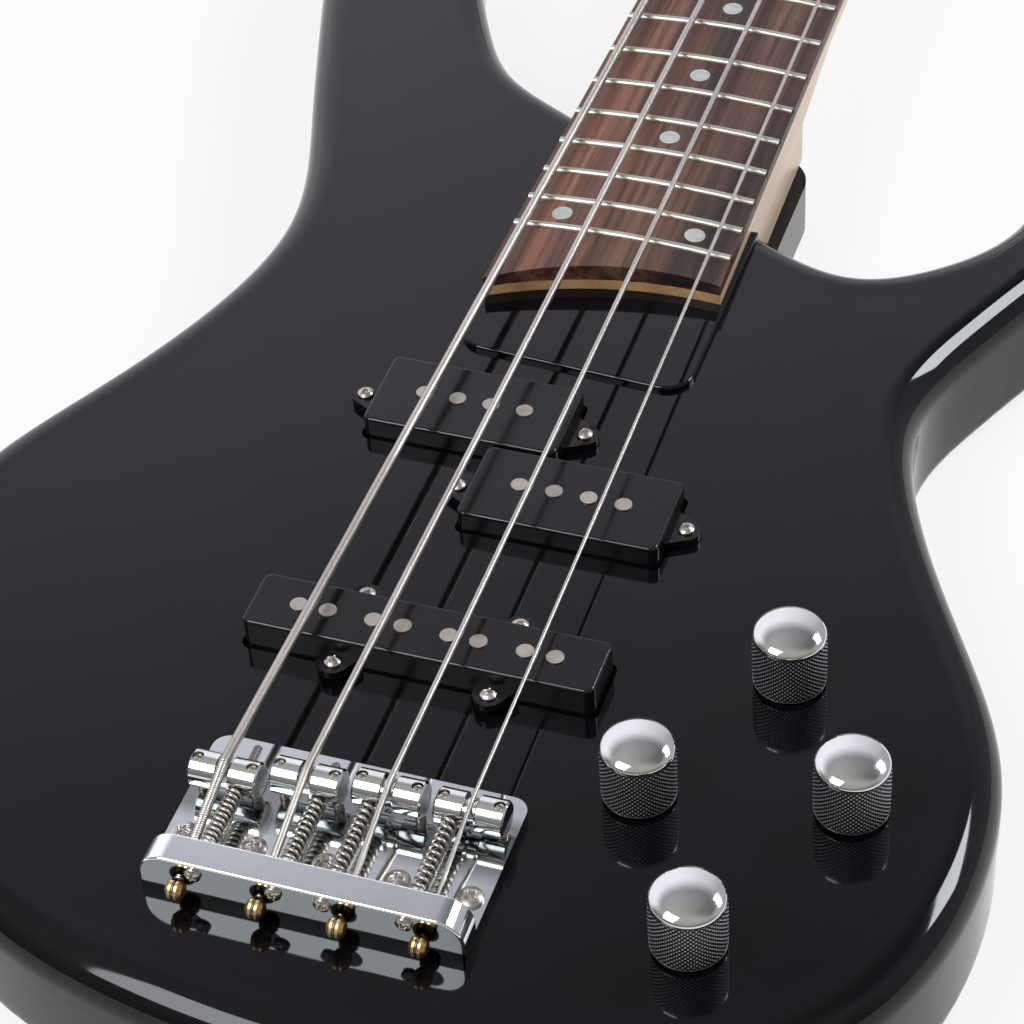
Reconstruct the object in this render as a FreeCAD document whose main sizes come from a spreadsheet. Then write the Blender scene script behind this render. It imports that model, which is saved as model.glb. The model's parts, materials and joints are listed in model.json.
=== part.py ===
import FreeCAD, Part
import Sketcher
import math
import os
from FreeCAD import Placement, Rotation, Vector

# Electric bass guitar with four strings, lying on its back. Millimetres.
# The origin is on the flat back, under the middle of the strings, where the nominal scale ends.
# +X is the side of the thinnest string, +Y points to the head, +Z points up out of the top.

os.makedirs("parts", exist_ok=True)

driving_sizes = {
    # Clearances shared by many pieces
    "overrun": 3.0,
    "wood_gap": 0.15,
    "screw_gap": 0.05,
    "running_gap": 0.05,
    "turning_gap": 0.35,
    # Scale and strings
    "scale_length": 863.6,
    "bridge_string_spacing": 20.5,
    "nut_string_spacing": 12.0,
    "string_e_diameter": 2.67,
    "string_a_diameter": 2.16,
    "string_d_diameter": 1.65,
    "string_g_diameter": 1.14,
    "action_e": 3.0,
    "action_a": 2.8,
    "action_d": 2.6,
    "action_g": 2.4,
    "nut_action": 0.3,
    "wrap_gap": 0.7,
    "string_bend_radius": 9.0,
    "string_rest_gap": 0.1,
    "nut_corner_reach": 0.9,
    "ball_radius": 2.7,
    "ball_length": 4.2,
    "ball_edge": 1.0,
    "ball_groove": 0.8,
    "ball_waist_radius": 2.1,
    "ball_bore_radius": 0.8,
    "ball_shift": 0.3,
    # Body
    "body_thickness": 40.0,
    "body_half_width": 152.0,
    "body_reach": 430.0,
    "body_top_round": 10.0,
    "body_back_round": 5.0,
    "heel_reach": 300.0,
    "heel_half_width": 36.0,
    "heel_start": 200.0,
    "heel_corner": 14.0,
    "pocket_floor": 22.0,
    "pad_rise": 1.7,
    "pad_half_width": 34.7,
    "pad_near_bass": 168.0,
    "pad_near_treble": 164.0,
    "pad_far": 238.0,
    "pad_corner": 8.0,
    "pad_lip": 0.8,
    # Neck
    "neck_top": 44.9,
    "last_fret_half_width": 32.97,
    "nut_half_width": 21.86,
    "neck_end_bass": 189.5,
    "neck_end_middle": 201.6,
    "neck_end_treble": 203.3,
    "neck_depth_heel": 16.8,
    "neck_depth_nut": 15.8,
    "neck_side_heel": 12.0,
    "neck_side": 4.0,
    "heel_blend": 36.0,
    "volute_length": 24.0,
    "head_drop": 8.0,
    "head_thickness": 14.0,
    "head_length": 190.0,
    "head_half_width": 42.0,
    "head_ramp": 12.0,
    "head_edge_round": 1.5,
    # Truss rod and its cover
    "rod_width": 5.0,
    "rod_height": 10.0,
    "rod_floor": 31.6,
    "rod_start": 232.0,
    "rod_end_inset": 10.0,
    "rod_tip_radius": 2.5,
    "rod_tip_reach": 8.0,
    "rod_access_start": 19.0,
    "rod_access_length": 22.0,
    "rod_access_half_width": 4.2,
    "rod_access_depth": 6.5,
    "rod_cover_half_width": 9.0,
    "rod_cover_thickness": 2.0,
    "rod_cover_margin": 7.0,
    "rod_cover_corner": 4.0,
    # Fingerboard, frets and nut
    "board_thickness": 5.2,
    "board_radius": 305.0,
    "fret_height": 1.1,
    "fret_width": 2.4,
    "fret_tang_width": 0.5,
    "fret_tang_depth": 1.8,
    "fret_slot_width": 0.6,
    "fret_slot_depth": 2.0,
    "fret_end_inset": 0.4,
    "dot_radius": 3.1,
    "dot_depth": 2.0,
    "double_dot_offset": 20.2,
    "nut_thickness": 5.0,
    "nut_height": 7.4,
    "nut_slot_gap": 0.12,
    # Neck fixing
    "neck_bolt_offset": 19.0,
    "neck_bolt_first": 222.0,
    "neck_bolt_spacing": 44.0,
    "neck_bolt_radius": 2.5,
    "neck_bolt_length": 34.0,
    "neck_bolt_head_radius": 4.6,
    "neck_bolt_head_height": 2.4,
    "ferrule_radius": 7.0,
    "ferrule_height": 4.0,
    "back_inset": 0.3,
    # Split pickup
    "split_length": 55.9,
    "split_width": 27.4,
    "split_rise": 6.55,
    "split_bass_x": -18.9,
    "split_bass_y": 139.3,
    "split_treble_x": 18.35,
    "split_treble_y": 110.8,
    "split_ear_offset": 32.0,
    "split_ear_rise": 2.6,
    "split_pole_pitch": 9.7,
    "split_pole_shift": 0.7,
    # Bridge pickup
    "bar_pickup_length": 95.0,
    "bar_pickup_width": 18.5,
    "bar_pickup_rise": 9.0,
    "bar_pickup_x": -1.0,
    "bar_pickup_y": 51.0,
    "bar_ear_x": 21.0,
    "bar_ear_y": 12.6,
    "bar_ear_rise": 4.2,
    "bar_pole_pair": 8.0,
    # All pickups
    "pickup_depth": 9.0,
    "pickup_wall": 1.6,
    "pickup_corner": 2.4,
    "pickup_edge": 0.9,
    "pickup_ear_radius": 3.9,
    "pickup_ear_base": 7.0,
    "pickup_ear_thickness": 2.2,
    "pickup_rout_depth": 18.0,
    "pickup_rout_gap": 0.8,
    "pole_radius": 2.35,
    "pole_proud": 0.35,
    "coil_gap": 0.3,
    "pickup_screw_radius": 1.4,
    "pickup_screw_length": 20.0,
    "pickup_screw_head_radius": 2.3,
    "pickup_screw_head_height": 1.5,
    # Bridge
    "bridge_half_width": 41.4,
    "bridge_front": 8.75,
    "bridge_back": 41.0,
    "bridge_plate_thickness": 3.1,
    "bridge_bar_height": 12.8,
    "bridge_bar_depth": 8.5,
    "bridge_bar_round": 7.0,
    "bridge_corner": 4.5,
    "bridge_edge": 0.7,
    "bridge_screw_spacing": 18.5,
    "bridge_screw_setback": 24.5,
    "bridge_screw_radius": 1.6,
    "bridge_screw_length": 20.0,
    "bridge_screw_head_radius": 3.3,
    "bridge_screw_head_height": 1.6,
    "ball_hole_height": 6.0,
    # Saddles
    "saddle_e_setback": 9.9,
    "saddle_a_setback": 7.2,
    "saddle_d_setback": 5.1,
    "saddle_g_setback": 4.0,
    "saddle_width": 17.8,
    "saddle_radius": 4.7,
    "saddle_groove_radius": 3.5,
    "saddle_groove_width": 3.8,
    "saddle_groove_floor": 2.4,
    "saddle_edge": 0.5,
    "height_screw_offset": 7.1,
    "height_screw_radius": 1.4,
    "height_screw_recess": 0.7,
    "intonation_height": 9.7,
    "intonation_offset": 4.1,
    "intonation_radius": 1.15,
    "intonation_head_radius": 2.1,
    "intonation_head_height": 1.5,
    "intonation_tip": 1.5,
    "spring_radius": 1.92,
    "spring_wire_radius": 0.42,
    # Controls
    "volume_x": 90.2,
    "volume_y": 67.55,
    "blend_x": 64.9,
    "blend_y": 20.7,
    "treble_x": 115.9,
    "treble_y": 29.95,
    "bass_x": 89.75,
    "bass_y": -20.9,
    "knob_radius": 9.5,
    "knob_gap": 1.3,
    "knob_side": 15.0,
    "knob_rim": 0.5,
    "knob_dome": 3.4,
    "knob_skirt_radius": 7.8,
    "knob_skirt_depth": 3.2,
    "knob_bore_depth": 12.0,
    "pot_radius": 12.0,
    "pot_height": 9.0,
    "pot_wall": 1.6,
    "pot_bushing_radius": 4.7,
    "pot_bushing_proud": 2.6,
    "pot_shaft_radius": 3.0,
    "panel_nut_flat": 6.35,
    "panel_nut_height": 2.2,
    "cavity_margin": 17.0,
    "cavity_ledge": 7.0,
    "cavity_top_wall": 6.0,
    "cover_thickness": 2.2,
    # Output jack
    "jack_x": 80.0,
    "jack_height": 20.0,
    "jack_seat": 60.0,
    "jack_seat_radius": 11.0,
    "jack_length": 32.0,
    "jack_proud": 4.0,
    "jack_bore_radius": 3.25,
    "jack_bore_depth": 20.0,
    # Strap buttons
    "button_base_radius": 6.0,
    "button_neck_radius": 4.2,
    "button_head_radius": 7.6,
    "button_neck_start": 3.0,
    "button_head_start": 9.0,
    "button_height": 12.5,
    "button_rim": 1.6,
    "button_seat_depth": 1.2,
    "button_screw_radius": 2.0,
    "button_screw_length": 28.0,
    "button_screw_head_radius": 3.8,
    "button_screw_head_height": 1.6,
    # Tuning machines
    "near_post_x": 27.0,
    "near_post_reach": 42.0,
    "far_post_x": 24.0,
    "far_post_reach": 122.0,
    "post_radius": 4.5,
    "post_waist_radius": 4.0,
    "post_waist_start": 2.6,
    "post_cap_start": 13.5,
    "post_cap_radius": 5.0,
    "post_height": 16.0,
    "post_slot_width": 2.9,
    "post_slot_depth": 5.0,
    "wrap_start": 11.2,
    "bushing_radius": 6.6,
    "bushing_flange_radius": 8.2,
    "bushing_flange": 1.4,
    "housing_inner": 9.5,
    "housing_outer": 13.0,
    "housing_near": 10.0,
    "housing_far": 16.0,
    "housing_height": 12.0,
    "housing_corner": 4.0,
    "housing_ear_radius": 4.5,
    "housing_ear_thickness": 2.4,
    "housing_ear_offset": 13.0,
    "post_bore_depth": 9.0,
    "key_shaft_offset": 9.4,
    "key_shaft_height": 6.0,
    "key_shaft_radius": 3.0,
    "key_shaft_depth": 8.0,
    "key_button_start": 47.0,
    "key_button_length": 25.0,
    "key_button_width": 21.0,
    "key_button_thickness": 5.6,
    "key_button_round": 1.8,
    "key_collar_radius": 4.4,
    "key_collar_length": 6.0,
    # Small screws of the control cover, the truss rod cover and the tuning machines
    "small_screw_radius": 1.2,
    "small_screw_length": 10.0,
    "small_screw_head_radius": 2.4,
    "small_screw_head_height": 1.4,
}

fret_count = 24
spring_curls = 12
post_wraps = 2
quarter_turns = 4

# Outline of the body, clockwise from the bass side of the neck, in half widths and in reaches
body_outline_shares = (
    (-0.233, 0.662), (-0.407, 0.700), (-0.523, 0.760), (-0.638, 0.856), (-0.704, 0.935),
    (-0.770, 0.981), (-0.868, 0.999), (-0.967, 0.981), (-1.000, 0.928), (-0.980, 0.860),
    (-0.908, 0.766), (-0.777, 0.624), (-0.688, 0.488), (-0.730, 0.405), (-0.862, 0.297),
    (-0.984, 0.200), (-0.987, 0.088), (-0.862, -0.023), (-0.684, -0.093), (-0.507, -0.136),
    (-0.263, -0.165), (0.033, -0.179), (0.395, -0.170), (0.724, -0.121), (0.921, -0.042),
    (0.989, 0.058), (0.957, 0.147), (0.851, 0.226), (0.685, 0.342), (0.640, 0.419),
    (0.711, 0.498), (0.849, 0.591), (0.964, 0.652), (0.993, 0.708), (0.905, 0.741),
    (0.770, 0.723), (0.692, 0.624), (0.559, 0.562), (0.429, 0.541), (0.305, 0.551),
    (0.233, 0.564), (0.000, 0.612),
)
# Right half of the head from the neck to the tip, in half widths and in head lengths
head_outline_shares = ((0.60, 0.06), (0.93, 0.20), (1.00, 0.37), (0.93, 0.64), (0.77, 0.86), (0.42, 0.975))
# How far the concave ramp behind the nut has come, along and up, at the middle of its curve
head_ramp_shares = (0.42, 0.34)
# Frets whose space carries one dot, and those with a pair of dots
single_dot_frets = (3, 5, 7, 9, 15, 17, 19, 21)
double_dot_frets = (12, 24)

string_names = ("e", "a", "d", "g")
# Places of the four strings across the neck, in string spacings from the middle
string_place_shares = (-1.5, -0.5, 0.5, 1.5)

doc = FreeCAD.newDocument("electric_bass")
sheet = doc.addObject("Spreadsheet::Sheet", "sizes")
for row, (alias, value) in enumerate(driving_sizes.items(), start=1):
    sheet.set(f"A{row}", alias)
    sheet.set(f"B{row}", str(value))
    sheet.setAlias(f"B{row}", alias)
doc.recompute()


class Size:
    """A length with its value and the formula of sheet cells that it comes from."""

    def __init__(self, value, formula):
        self.value = float(value)
        self.formula = formula

    def __float__(self):
        return self.value

    def __add__(self, other):
        return Size(self.value + float(other), f"({self.formula} + {formula_of(other)})")

    def __sub__(self, other):
        return Size(self.value - float(other), f"({self.formula} - {formula_of(other)})")

    def __mul__(self, other):
        return Size(self.value * float(other), f"({self.formula} * {formula_of(other)})")

    def __truediv__(self, other):
        return Size(self.value / float(other), f"({self.formula} / {formula_of(other)})")

    def __neg__(self):
        return Size(-self.value, f"(-1 * {self.formula})")

    __radd__ = __add__
    __rmul__ = __mul__


def formula_of(item):
    """The formula of a size, or a plain number as text."""
    return item.formula if isinstance(item, Size) else repr(float(item))


class Cells:
    """Every driving dimension by name, read back from the sheet."""


cell = Cells()
for alias in driving_sizes:
    setattr(cell, alias, Size(getattr(sheet, alias), f"sizes.{alias}"))

zero = Size(0, "0")
nodes = {}


def keep(label, thing):
    """Name a finished sub-part and put it on the list of nodes."""
    thing.Label = label
    nodes[label] = thing
    return thing


def place(thing, x=zero, y=zero, z=zero, rotation=None):
    """Put an object somewhere, each coordinate bound to its formula."""
    thing.Placement = Placement(Vector(x, y, z), rotation or Rotation())
    for axis, length in zip("xyz", (x, y, z)):
        thing.setExpression(f"Placement.Base.{axis}", length.formula)
    return thing


def put(thing, point, rotation):
    """Put an object at a point that the code worked out from the sizes."""
    thing.Placement = Placement(point, rotation)
    return thing


def fixed(value):
    """A worked-out coordinate as a size, so that it can stand beside bound ones."""
    return Size(value, repr(float(value)))


along_x = Rotation(Vector(0, 1, 0), 90)
along_y = Rotation(Vector(1, 0, 0), -90)
against_y = Rotation(Vector(1, 0, 0), 90)


def rod(name, radius, length, x, y, z, rotation=None):
    """A bound cylinder that starts at a point and runs along +Z, or along the turned axis."""
    cylinder = doc.addObject("Part::Cylinder", name)
    cylinder.setExpression("Radius", formula_of(radius))
    cylinder.setExpression("Height", formula_of(length))
    return place(cylinder, x, y, z, rotation)


def block(name, length, width, height, x, y, z):
    """A bound box between its lowest corner and its sizes along X, Y and Z."""
    box = doc.addObject("Part::Box", name)
    for size_name, formula in (("Length", length), ("Width", width), ("Height", height)):
        box.setExpression(size_name, formula_of(formula))
    return place(box, x, y, z)


def collect(name, members):
    """Several objects as one group of separate solids."""
    group = doc.addObject("Part::Compound", name)
    group.Links = members
    return group


def joined(name, members):
    """Several objects fused into one."""
    fused = doc.addObject("Part::MultiFuse", name)
    fused.Shapes = members
    return fused


def carved(name, base, tools):
    """A base with every tool cut out of it."""
    cut = doc.addObject("Part::Cut", name)
    cut.Base = base
    cut.Tool = tools[0] if len(tools) == 1 else joined(name + "_tools", tools)
    return cut


def solid_feature(name, shape):
    """A shape worked out in code as an object of the document."""
    feature = doc.addObject("Part::Feature", name)
    feature.Shape = shape
    return feature


def origin_plane(body, role):
    """A body's own origin plane, found by its role."""
    return next(plane for plane in body.Origin.OriginFeatures if plane.Role == role)


def new_sketch(body, name, role, lift=None):
    """A sketch on one of the body's origin planes, lifted off it by a bound length."""
    sketch = body.newObject("Sketcher::SketchObject", name)
    sketch.AttachmentSupport = [(origin_plane(body, role), "")]
    sketch.MapMode = "FlatFace"
    if lift is not None:
        sketch.setExpression("AttachmentOffset.Base.z", lift.formula)
    return sketch


def pin_point(sketch, geometry, end, x, y):
    """Hold a point of a sketch at bound distances from the sketch's origin."""
    for kind, axis, length in (("DistanceX", -2, x), ("DistanceY", -1, y)):
        if float(length) == 0:
            sketch.addConstraint(Sketcher.Constraint("PointOnObject", geometry, end, axis))
        else:
            index = sketch.addConstraint(Sketcher.Constraint(kind, -1, 1, geometry, end, float(length)))
            sketch.setExpression(f"Constraints[{index}]", length.formula)


def draw_polygon(sketch, corners, domes=None):
    """A closed outline with every corner bound; a dome is an arc of a bound radius up to the axis."""
    domes = domes or {}
    count = len(corners)
    for index, (x, y) in enumerate(corners):
        next_x, next_y = corners[(index + 1) % count]
        edge = Part.LineSegment(Vector(x, y, 0), Vector(next_x, next_y, 0))
        if index in domes:
            radius = float(domes[index])
            centre = Vector(next_x, float(next_y) - radius, 0)
            start = math.atan2(float(y) - centre.y, float(x) - centre.x)
            edge = Part.ArcOfCircle(Part.Circle(centre, Vector(0, 0, 1), radius), start, math.pi / 2)
        sketch.addGeometry(edge, False)
    for index in range(count):
        sketch.addConstraint(Sketcher.Constraint("Coincident", index, 2, (index + 1) % count, 1))
    for index, (x, y) in enumerate(corners):
        pin_point(sketch, index, 1, x, y)
    for index, radius in domes.items():
        constraint = sketch.addConstraint(Sketcher.Constraint("Radius", index, float(radius)))
        sketch.setExpression(f"Constraints[{constraint}]", radius.formula)


def draw_circle(sketch, x, y, radius):
    """A circle with its centre and radius bound."""
    index = sketch.addGeometry(Part.Circle(Vector(x, y, 0), Vector(0, 0, 1), float(radius)), False)
    pin_point(sketch, index, 3, x, y)
    constraint = sketch.addConstraint(Sketcher.Constraint("Radius", index, float(radius)))
    sketch.setExpression(f"Constraints[{constraint}]", radius.formula)


def extrude_sketch(body, kind, sketch, length, backwards=False):
    """A pad or a pocket of a bound length."""
    feature = body.newObject(f"PartDesign::{kind}", f"{sketch.Name}_{kind.lower()}")
    feature.Profile = sketch
    feature.setExpression("Length", length.formula)
    feature.Reversed = backwards
    sketch.Visibility = False
    doc.recompute()
    return feature


def lathe(name, profile, domes=None):
    """A turned piece: a closed profile of (radius, height) corners spun about the upright axis."""
    body = doc.addObject("PartDesign::Body", name)
    sketch = new_sketch(body, f"{name}_profile", "XZ_Plane")
    draw_polygon(sketch, profile, domes)
    spin = body.newObject("PartDesign::Revolution", f"{name}_turned")
    spin.Profile = sketch
    spin.ReferenceAxis = (sketch, ["V_Axis"])
    spin.Angle = 360.0
    doc.recompute()
    return body


def round_edges(body, base, name, radius, wanted):
    """Round those edges of a body's last feature that a test picks."""
    names = [f"Edge{i}" for i, edge in enumerate(base.Shape.Edges, start=1) if wanted(edge)]
    fillet = body.newObject("PartDesign::Fillet", name)
    fillet.Base = (base, names)
    fillet.setExpression("Radius", radius.formula)
    doc.recompute()
    return fillet


def close(first, second):
    """Whether two lengths agree for the purpose of picking an edge."""
    return abs(float(first) - float(second)) < float(cell.running_gap) / 10


def upright(edge):
    """Whether an edge runs straight along Z."""
    box = edge.BoundBox
    return close(box.XLength, 0) and close(box.YLength, 0)


def line(start, end):
    """A straight edge."""
    return Part.LineSegment(start, end).toShape()


def prism(edges, bottom, top):
    """A flat outline drawn at height zero, raised from one height to another."""
    face = Part.Face(Part.Wire(Part.__sortEdges__(edges)))
    face.translate(Vector(0, 0, bottom))
    return face.extrude(Vector(0, 0, float(top) - float(bottom)))


def rounded_block(x_low, x_high, y_low, y_high, z_low, z_high, corner):
    """A box in code with its upright corners rounded."""
    box = Part.makeBox(
        float(x_high) - float(x_low),
        float(y_high) - float(y_low),
        float(z_high) - float(z_low),
        Vector(x_low, y_low, z_low),
    )
    return box.makeFillet(float(corner), [edge for edge in box.Edges if upright(edge)])


def drill(x, y, low, high, radius):
    """An upright cylinder in code, for a hole."""
    return Part.makeCylinder(float(radius), float(high) - float(low), Vector(x, y, low))


# Places that several pieces share

board_end_y = cell.neck_end_treble
last_fret_y = cell.scale_length / 2 ** (fret_count / 12)
board_top = cell.neck_top + cell.board_thickness
head_face = cell.neck_top - cell.head_drop
head_back = head_face - cell.head_thickness
nut_back_y = cell.scale_length + cell.nut_thickness
body_top = cell.body_thickness
knob_places = {
    "volume": (cell.volume_x, cell.volume_y),
    "treble": (cell.treble_x, cell.treble_y),
    "bass": (cell.bass_x, cell.bass_y),
    "blend": (cell.blend_x, cell.blend_y),
}
post_places = {
    "e": (-cell.near_post_x, cell.scale_length + cell.near_post_reach),
    "a": (-cell.far_post_x, cell.scale_length + cell.far_post_reach),
    "d": (cell.far_post_x, cell.scale_length + cell.far_post_reach),
    "g": (cell.near_post_x, cell.scale_length + cell.near_post_reach),
}
split_places = {
    "bass": (cell.split_bass_x, cell.split_bass_y),
    "treble": (cell.split_treble_x, cell.split_treble_y),
}
split_screw_places = [
    (x + side * cell.split_ear_offset, y)
    for x, y in split_places.values()
    for side in (-1, 1)
]
bar_screw_places = [
    (cell.bar_pickup_x + side * cell.bar_ear_x, cell.bar_pickup_y + end * cell.bar_ear_y)
    for side in (-1, 1)
    for end in (-1, 1)
]
bridge_screw_places = [
    (cell.bridge_screw_spacing * step, -cell.bridge_screw_setback)
    for step in range(-2, 3)
]
neck_bolt_places = [
    (side * cell.neck_bolt_offset, cell.neck_bolt_first + row * cell.neck_bolt_spacing)
    for side in (-1, 1)
    for row in (0, 1)
]
plate_top = body_top + cell.bridge_plate_thickness
bar_front_y = cell.bridge_bar_depth - cell.bridge_back
intonation_z = body_top + cell.intonation_height


def neck_half_width(y):
    """Half the neck's width at a distance along the scale."""
    run = (float(y) - float(last_fret_y)) / (float(cell.scale_length) - float(last_fret_y))
    return float(cell.last_fret_half_width) * (1 - run) + float(cell.nut_half_width) * run


def board_height(x):
    """Height of the fingerboard's arched face at a distance from its middle."""
    radius = float(cell.board_radius)
    return float(board_top) - radius + math.sqrt(radius ** 2 - float(x) ** 2)


def fret_y(number):
    """Where a fret lies by the equal-tempered rule."""
    return float(cell.scale_length) / 2 ** (number / 12)


def neck_plan(far_y, gap):
    """Edges of the neck seen from above, from its curved end to a cross line, grown by a gap."""
    bass = Vector(-neck_half_width(cell.neck_end_bass) - gap, float(cell.neck_end_bass) - gap, 0)
    middle = Vector(0, float(cell.neck_end_middle) - gap, 0)
    treble = Vector(neck_half_width(board_end_y) + gap, float(board_end_y) - gap, 0)
    far_treble = Vector(neck_half_width(far_y) + gap, far_y, 0)
    far_bass = Vector(-neck_half_width(far_y) - gap, far_y, 0)
    curved_end = Part.Arc(bass, middle, treble).toShape()
    return [curved_end, line(treble, far_treble), line(far_treble, far_bass), line(far_bass, bass)]


# Body

def body_curve():
    """The body's closed outline as one smooth curve."""
    curve = Part.BSplineCurve()
    points = [
        Vector(x * float(cell.body_half_width), y * float(cell.body_reach), 0)
        for x, y in body_outline_shares
    ]
    curve.interpolate(Points=points, PeriodicFlag=True)
    return curve


outline_points = body_curve().toShape().discretize(400)
horn_tip = max(outline_points, key=lambda point: point.y)
tail_tip = min(outline_points, key=lambda point: point.y)
control_polygon = Part.makePolygon([Vector(x, y, 0) for x, y in knob_places.values()], True)


def control_outline(margin):
    """Edges of the rounded control cavity, a margin outside the knobs' centres."""
    return Part.Face(Part.Wire(control_polygon.Edges)).makeOffset2D(float(margin)).Edges


def body_slab():
    """The slab with its rounded rims, the heel under the neck and the raised pad at the neck's end."""
    slab = Part.Face(Part.Wire([body_curve().toShape()])).extrude(Vector(0, 0, body_top))
    top_rim = [edge for edge in slab.Edges if close(edge.BoundBox.ZMin, body_top)]
    slab = slab.makeFillet(float(cell.body_top_round), top_rim)
    back_rim = [edge for edge in slab.Edges if close(edge.BoundBox.ZMax, 0)]
    slab = slab.makeFillet(float(cell.body_back_round), back_rim)
    heel = rounded_block(
        -cell.heel_half_width, cell.heel_half_width, cell.heel_start, cell.heel_reach,
        0, cell.pocket_floor, cell.heel_corner,
    )
    heel_rim = [edge for edge in heel.Edges if close(edge.BoundBox.ZMax, 0)]
    heel = heel.makeFillet(float(cell.body_back_round), heel_rim)
    return slab.fuse([heel, raised_pad()])


def raised_pad():
    """The low pad that carries the top on from the neck's end towards the pickups."""
    half = float(cell.pad_half_width)
    corners = [
        Vector(-half, cell.pad_near_bass, 0),
        Vector(half, cell.pad_near_treble, 0),
        Vector(half, cell.pad_far, 0),
        Vector(-half, cell.pad_far, 0),
    ]
    edges = Part.makePolygon(corners, True).Edges
    pad = prism(edges, body_top - cell.overrun, body_top + cell.pad_rise)
    near_y = float(cell.pad_near_bass)
    near = [edge for edge in pad.Edges if upright(edge) and edge.BoundBox.YMax <= near_y]
    pad = pad.makeFillet(float(cell.pad_corner), near)
    top = float(body_top + cell.pad_rise)
    lip = [edge for edge in pad.Edges if close(edge.BoundBox.ZMin, top)]
    return pad.makeFillet(float(cell.pad_lip), lip)


def pickup_rout(x, y, length, width):
    """A rounded pocket in the top, a gap larger than the pickup cover."""
    gap = float(cell.pickup_rout_gap)
    return rounded_block(
        x - length / 2 - gap, x + length / 2 + gap, y - width / 2 - gap, y + width / 2 + gap,
        body_top - cell.pickup_rout_depth, body_top + cell.overrun, cell.pickup_corner,
    )


def body_cuts():
    """Everything that is routed and drilled out of the body."""
    overrun = cell.overrun
    screw_gap = cell.screw_gap
    cuts = [prism(neck_plan(cell.body_reach, float(cell.wood_gap)), cell.pocket_floor, board_top + overrun)]
    for x, y in split_places.values():
        cuts.append(pickup_rout(x, y, cell.split_length, cell.split_width))
    cuts.append(pickup_rout(
        cell.bar_pickup_x, cell.bar_pickup_y, cell.bar_pickup_length, cell.bar_pickup_width,
    ))
    for x, y in split_screw_places:
        top = body_top + cell.split_ear_rise
        cuts.append(drill(x, y, top - cell.pickup_screw_length, top, cell.pickup_screw_radius + screw_gap))
    for x, y in bar_screw_places:
        top = body_top + cell.bar_ear_rise
        cuts.append(drill(x, y, top - cell.pickup_screw_length, top, cell.pickup_screw_radius + screw_gap))
    for x, y in bridge_screw_places:
        bottom = plate_top - cell.bridge_screw_length
        cuts.append(drill(x, y, bottom, body_top + overrun, cell.bridge_screw_radius + screw_gap))
    for x, y in neck_bolt_places:
        cuts.append(drill(x, y, -overrun, cell.pocket_floor + overrun, cell.neck_bolt_radius + screw_gap))
        seat = cell.ferrule_height + cell.back_inset
        cuts.append(drill(x, y, -overrun, seat, cell.ferrule_radius + screw_gap))
    ledge = cell.cavity_margin + cell.cavity_ledge
    cuts.append(prism(control_outline(ledge), -overrun, cell.back_inset + cell.cover_thickness))
    cuts.append(prism(control_outline(cell.cavity_margin), -overrun, body_top - cell.cavity_top_wall))
    for x, y in knob_places.values():
        cuts.append(drill(x, y, 0, body_top + overrun, cell.pot_bushing_radius + screw_gap))
    for x, y in cover_screw_places:
        top = cell.back_inset + cell.small_screw_head_height + cell.small_screw_length
        cuts.append(drill(x, y, 0, top, cell.small_screw_radius + screw_gap))
    cuts.extend(jack_cuts())
    for tip, outward in ((horn_tip, 1), (tail_tip, -1)):
        cuts.extend(button_cuts(tip, outward))
    return cuts


def jack_cuts():
    """The flat seat on the tail and the bore that leads from it to the control cavity."""
    inward = Vector(0, 1, 0)
    outside = Vector(cell.jack_x, -cell.body_reach, cell.jack_height)
    seat_length = float(cell.body_reach - cell.jack_seat)
    seat = Part.makeCylinder(float(cell.jack_seat_radius), seat_length, outside, inward)
    start = Vector(cell.jack_x, -cell.jack_seat - cell.overrun, cell.jack_height)
    bore_length = float(cell.jack_length + cell.overrun)
    bore = Part.makeCylinder(float(cell.pot_bushing_radius + cell.screw_gap), bore_length, start, inward)
    return [seat, bore]


def button_cuts(tip, outward):
    """The flat seat of a strap button and the hole for its screw."""
    inward = Vector(0, -outward, 0)
    middle = float(body_top / 2)
    start = Vector(tip.x, tip.y + outward * float(cell.overrun), middle)
    seat_length = float(cell.overrun + cell.button_seat_depth)
    seat = Part.makeCylinder(float(cell.button_base_radius + cell.screw_gap), seat_length, start, inward)
    in_wood = cell.button_screw_length - cell.button_height + cell.button_screw_head_height
    hole_length = float(cell.overrun + cell.button_seat_depth + in_wood)
    hole = Part.makeCylinder(float(cell.button_screw_radius + cell.screw_gap), hole_length, start, inward)
    return [seat, hole]


def ledge_points(margin):
    """Places for the cover's screws: outside each knob's centre, away from the cavity's middle."""
    places = list(knob_places.values())
    centre_x = sum(float(x) for x, _ in places) / len(places)
    centre_y = sum(float(y) for _, y in places) / len(places)
    points = []
    for x, y in places:
        away = Vector(float(x) - centre_x, float(y) - centre_y, 0).normalize() * float(margin)
        points.append((float(x) + away.x, float(y) + away.y))
    return points


cover_screw_places = ledge_points(cell.cavity_margin + cell.cavity_ledge / 2)
body_shape = body_slab()
for cut_shape in body_cuts():
    body_shape = body_shape.cut(cut_shape)
keep("body", solid_feature("body_wood", body_shape))


# Neck

def neck_section(y, depth, side):
    """The neck's D-shaped outline at a distance along the scale."""
    half = neck_half_width(y)
    top = float(cell.neck_top)
    bass_top = Vector(-half, y, top)
    treble_top = Vector(half, y, top)
    treble_low = Vector(half, y, top - float(side))
    bass_low = Vector(-half, y, top - float(side))
    belly = Part.Arc(treble_low, Vector(0, y, top - float(depth)), bass_low).toShape()
    sides = [line(bass_top, treble_top), line(treble_top, treble_low), belly, line(bass_low, bass_top)]
    return Part.Wire(sides)


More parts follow.
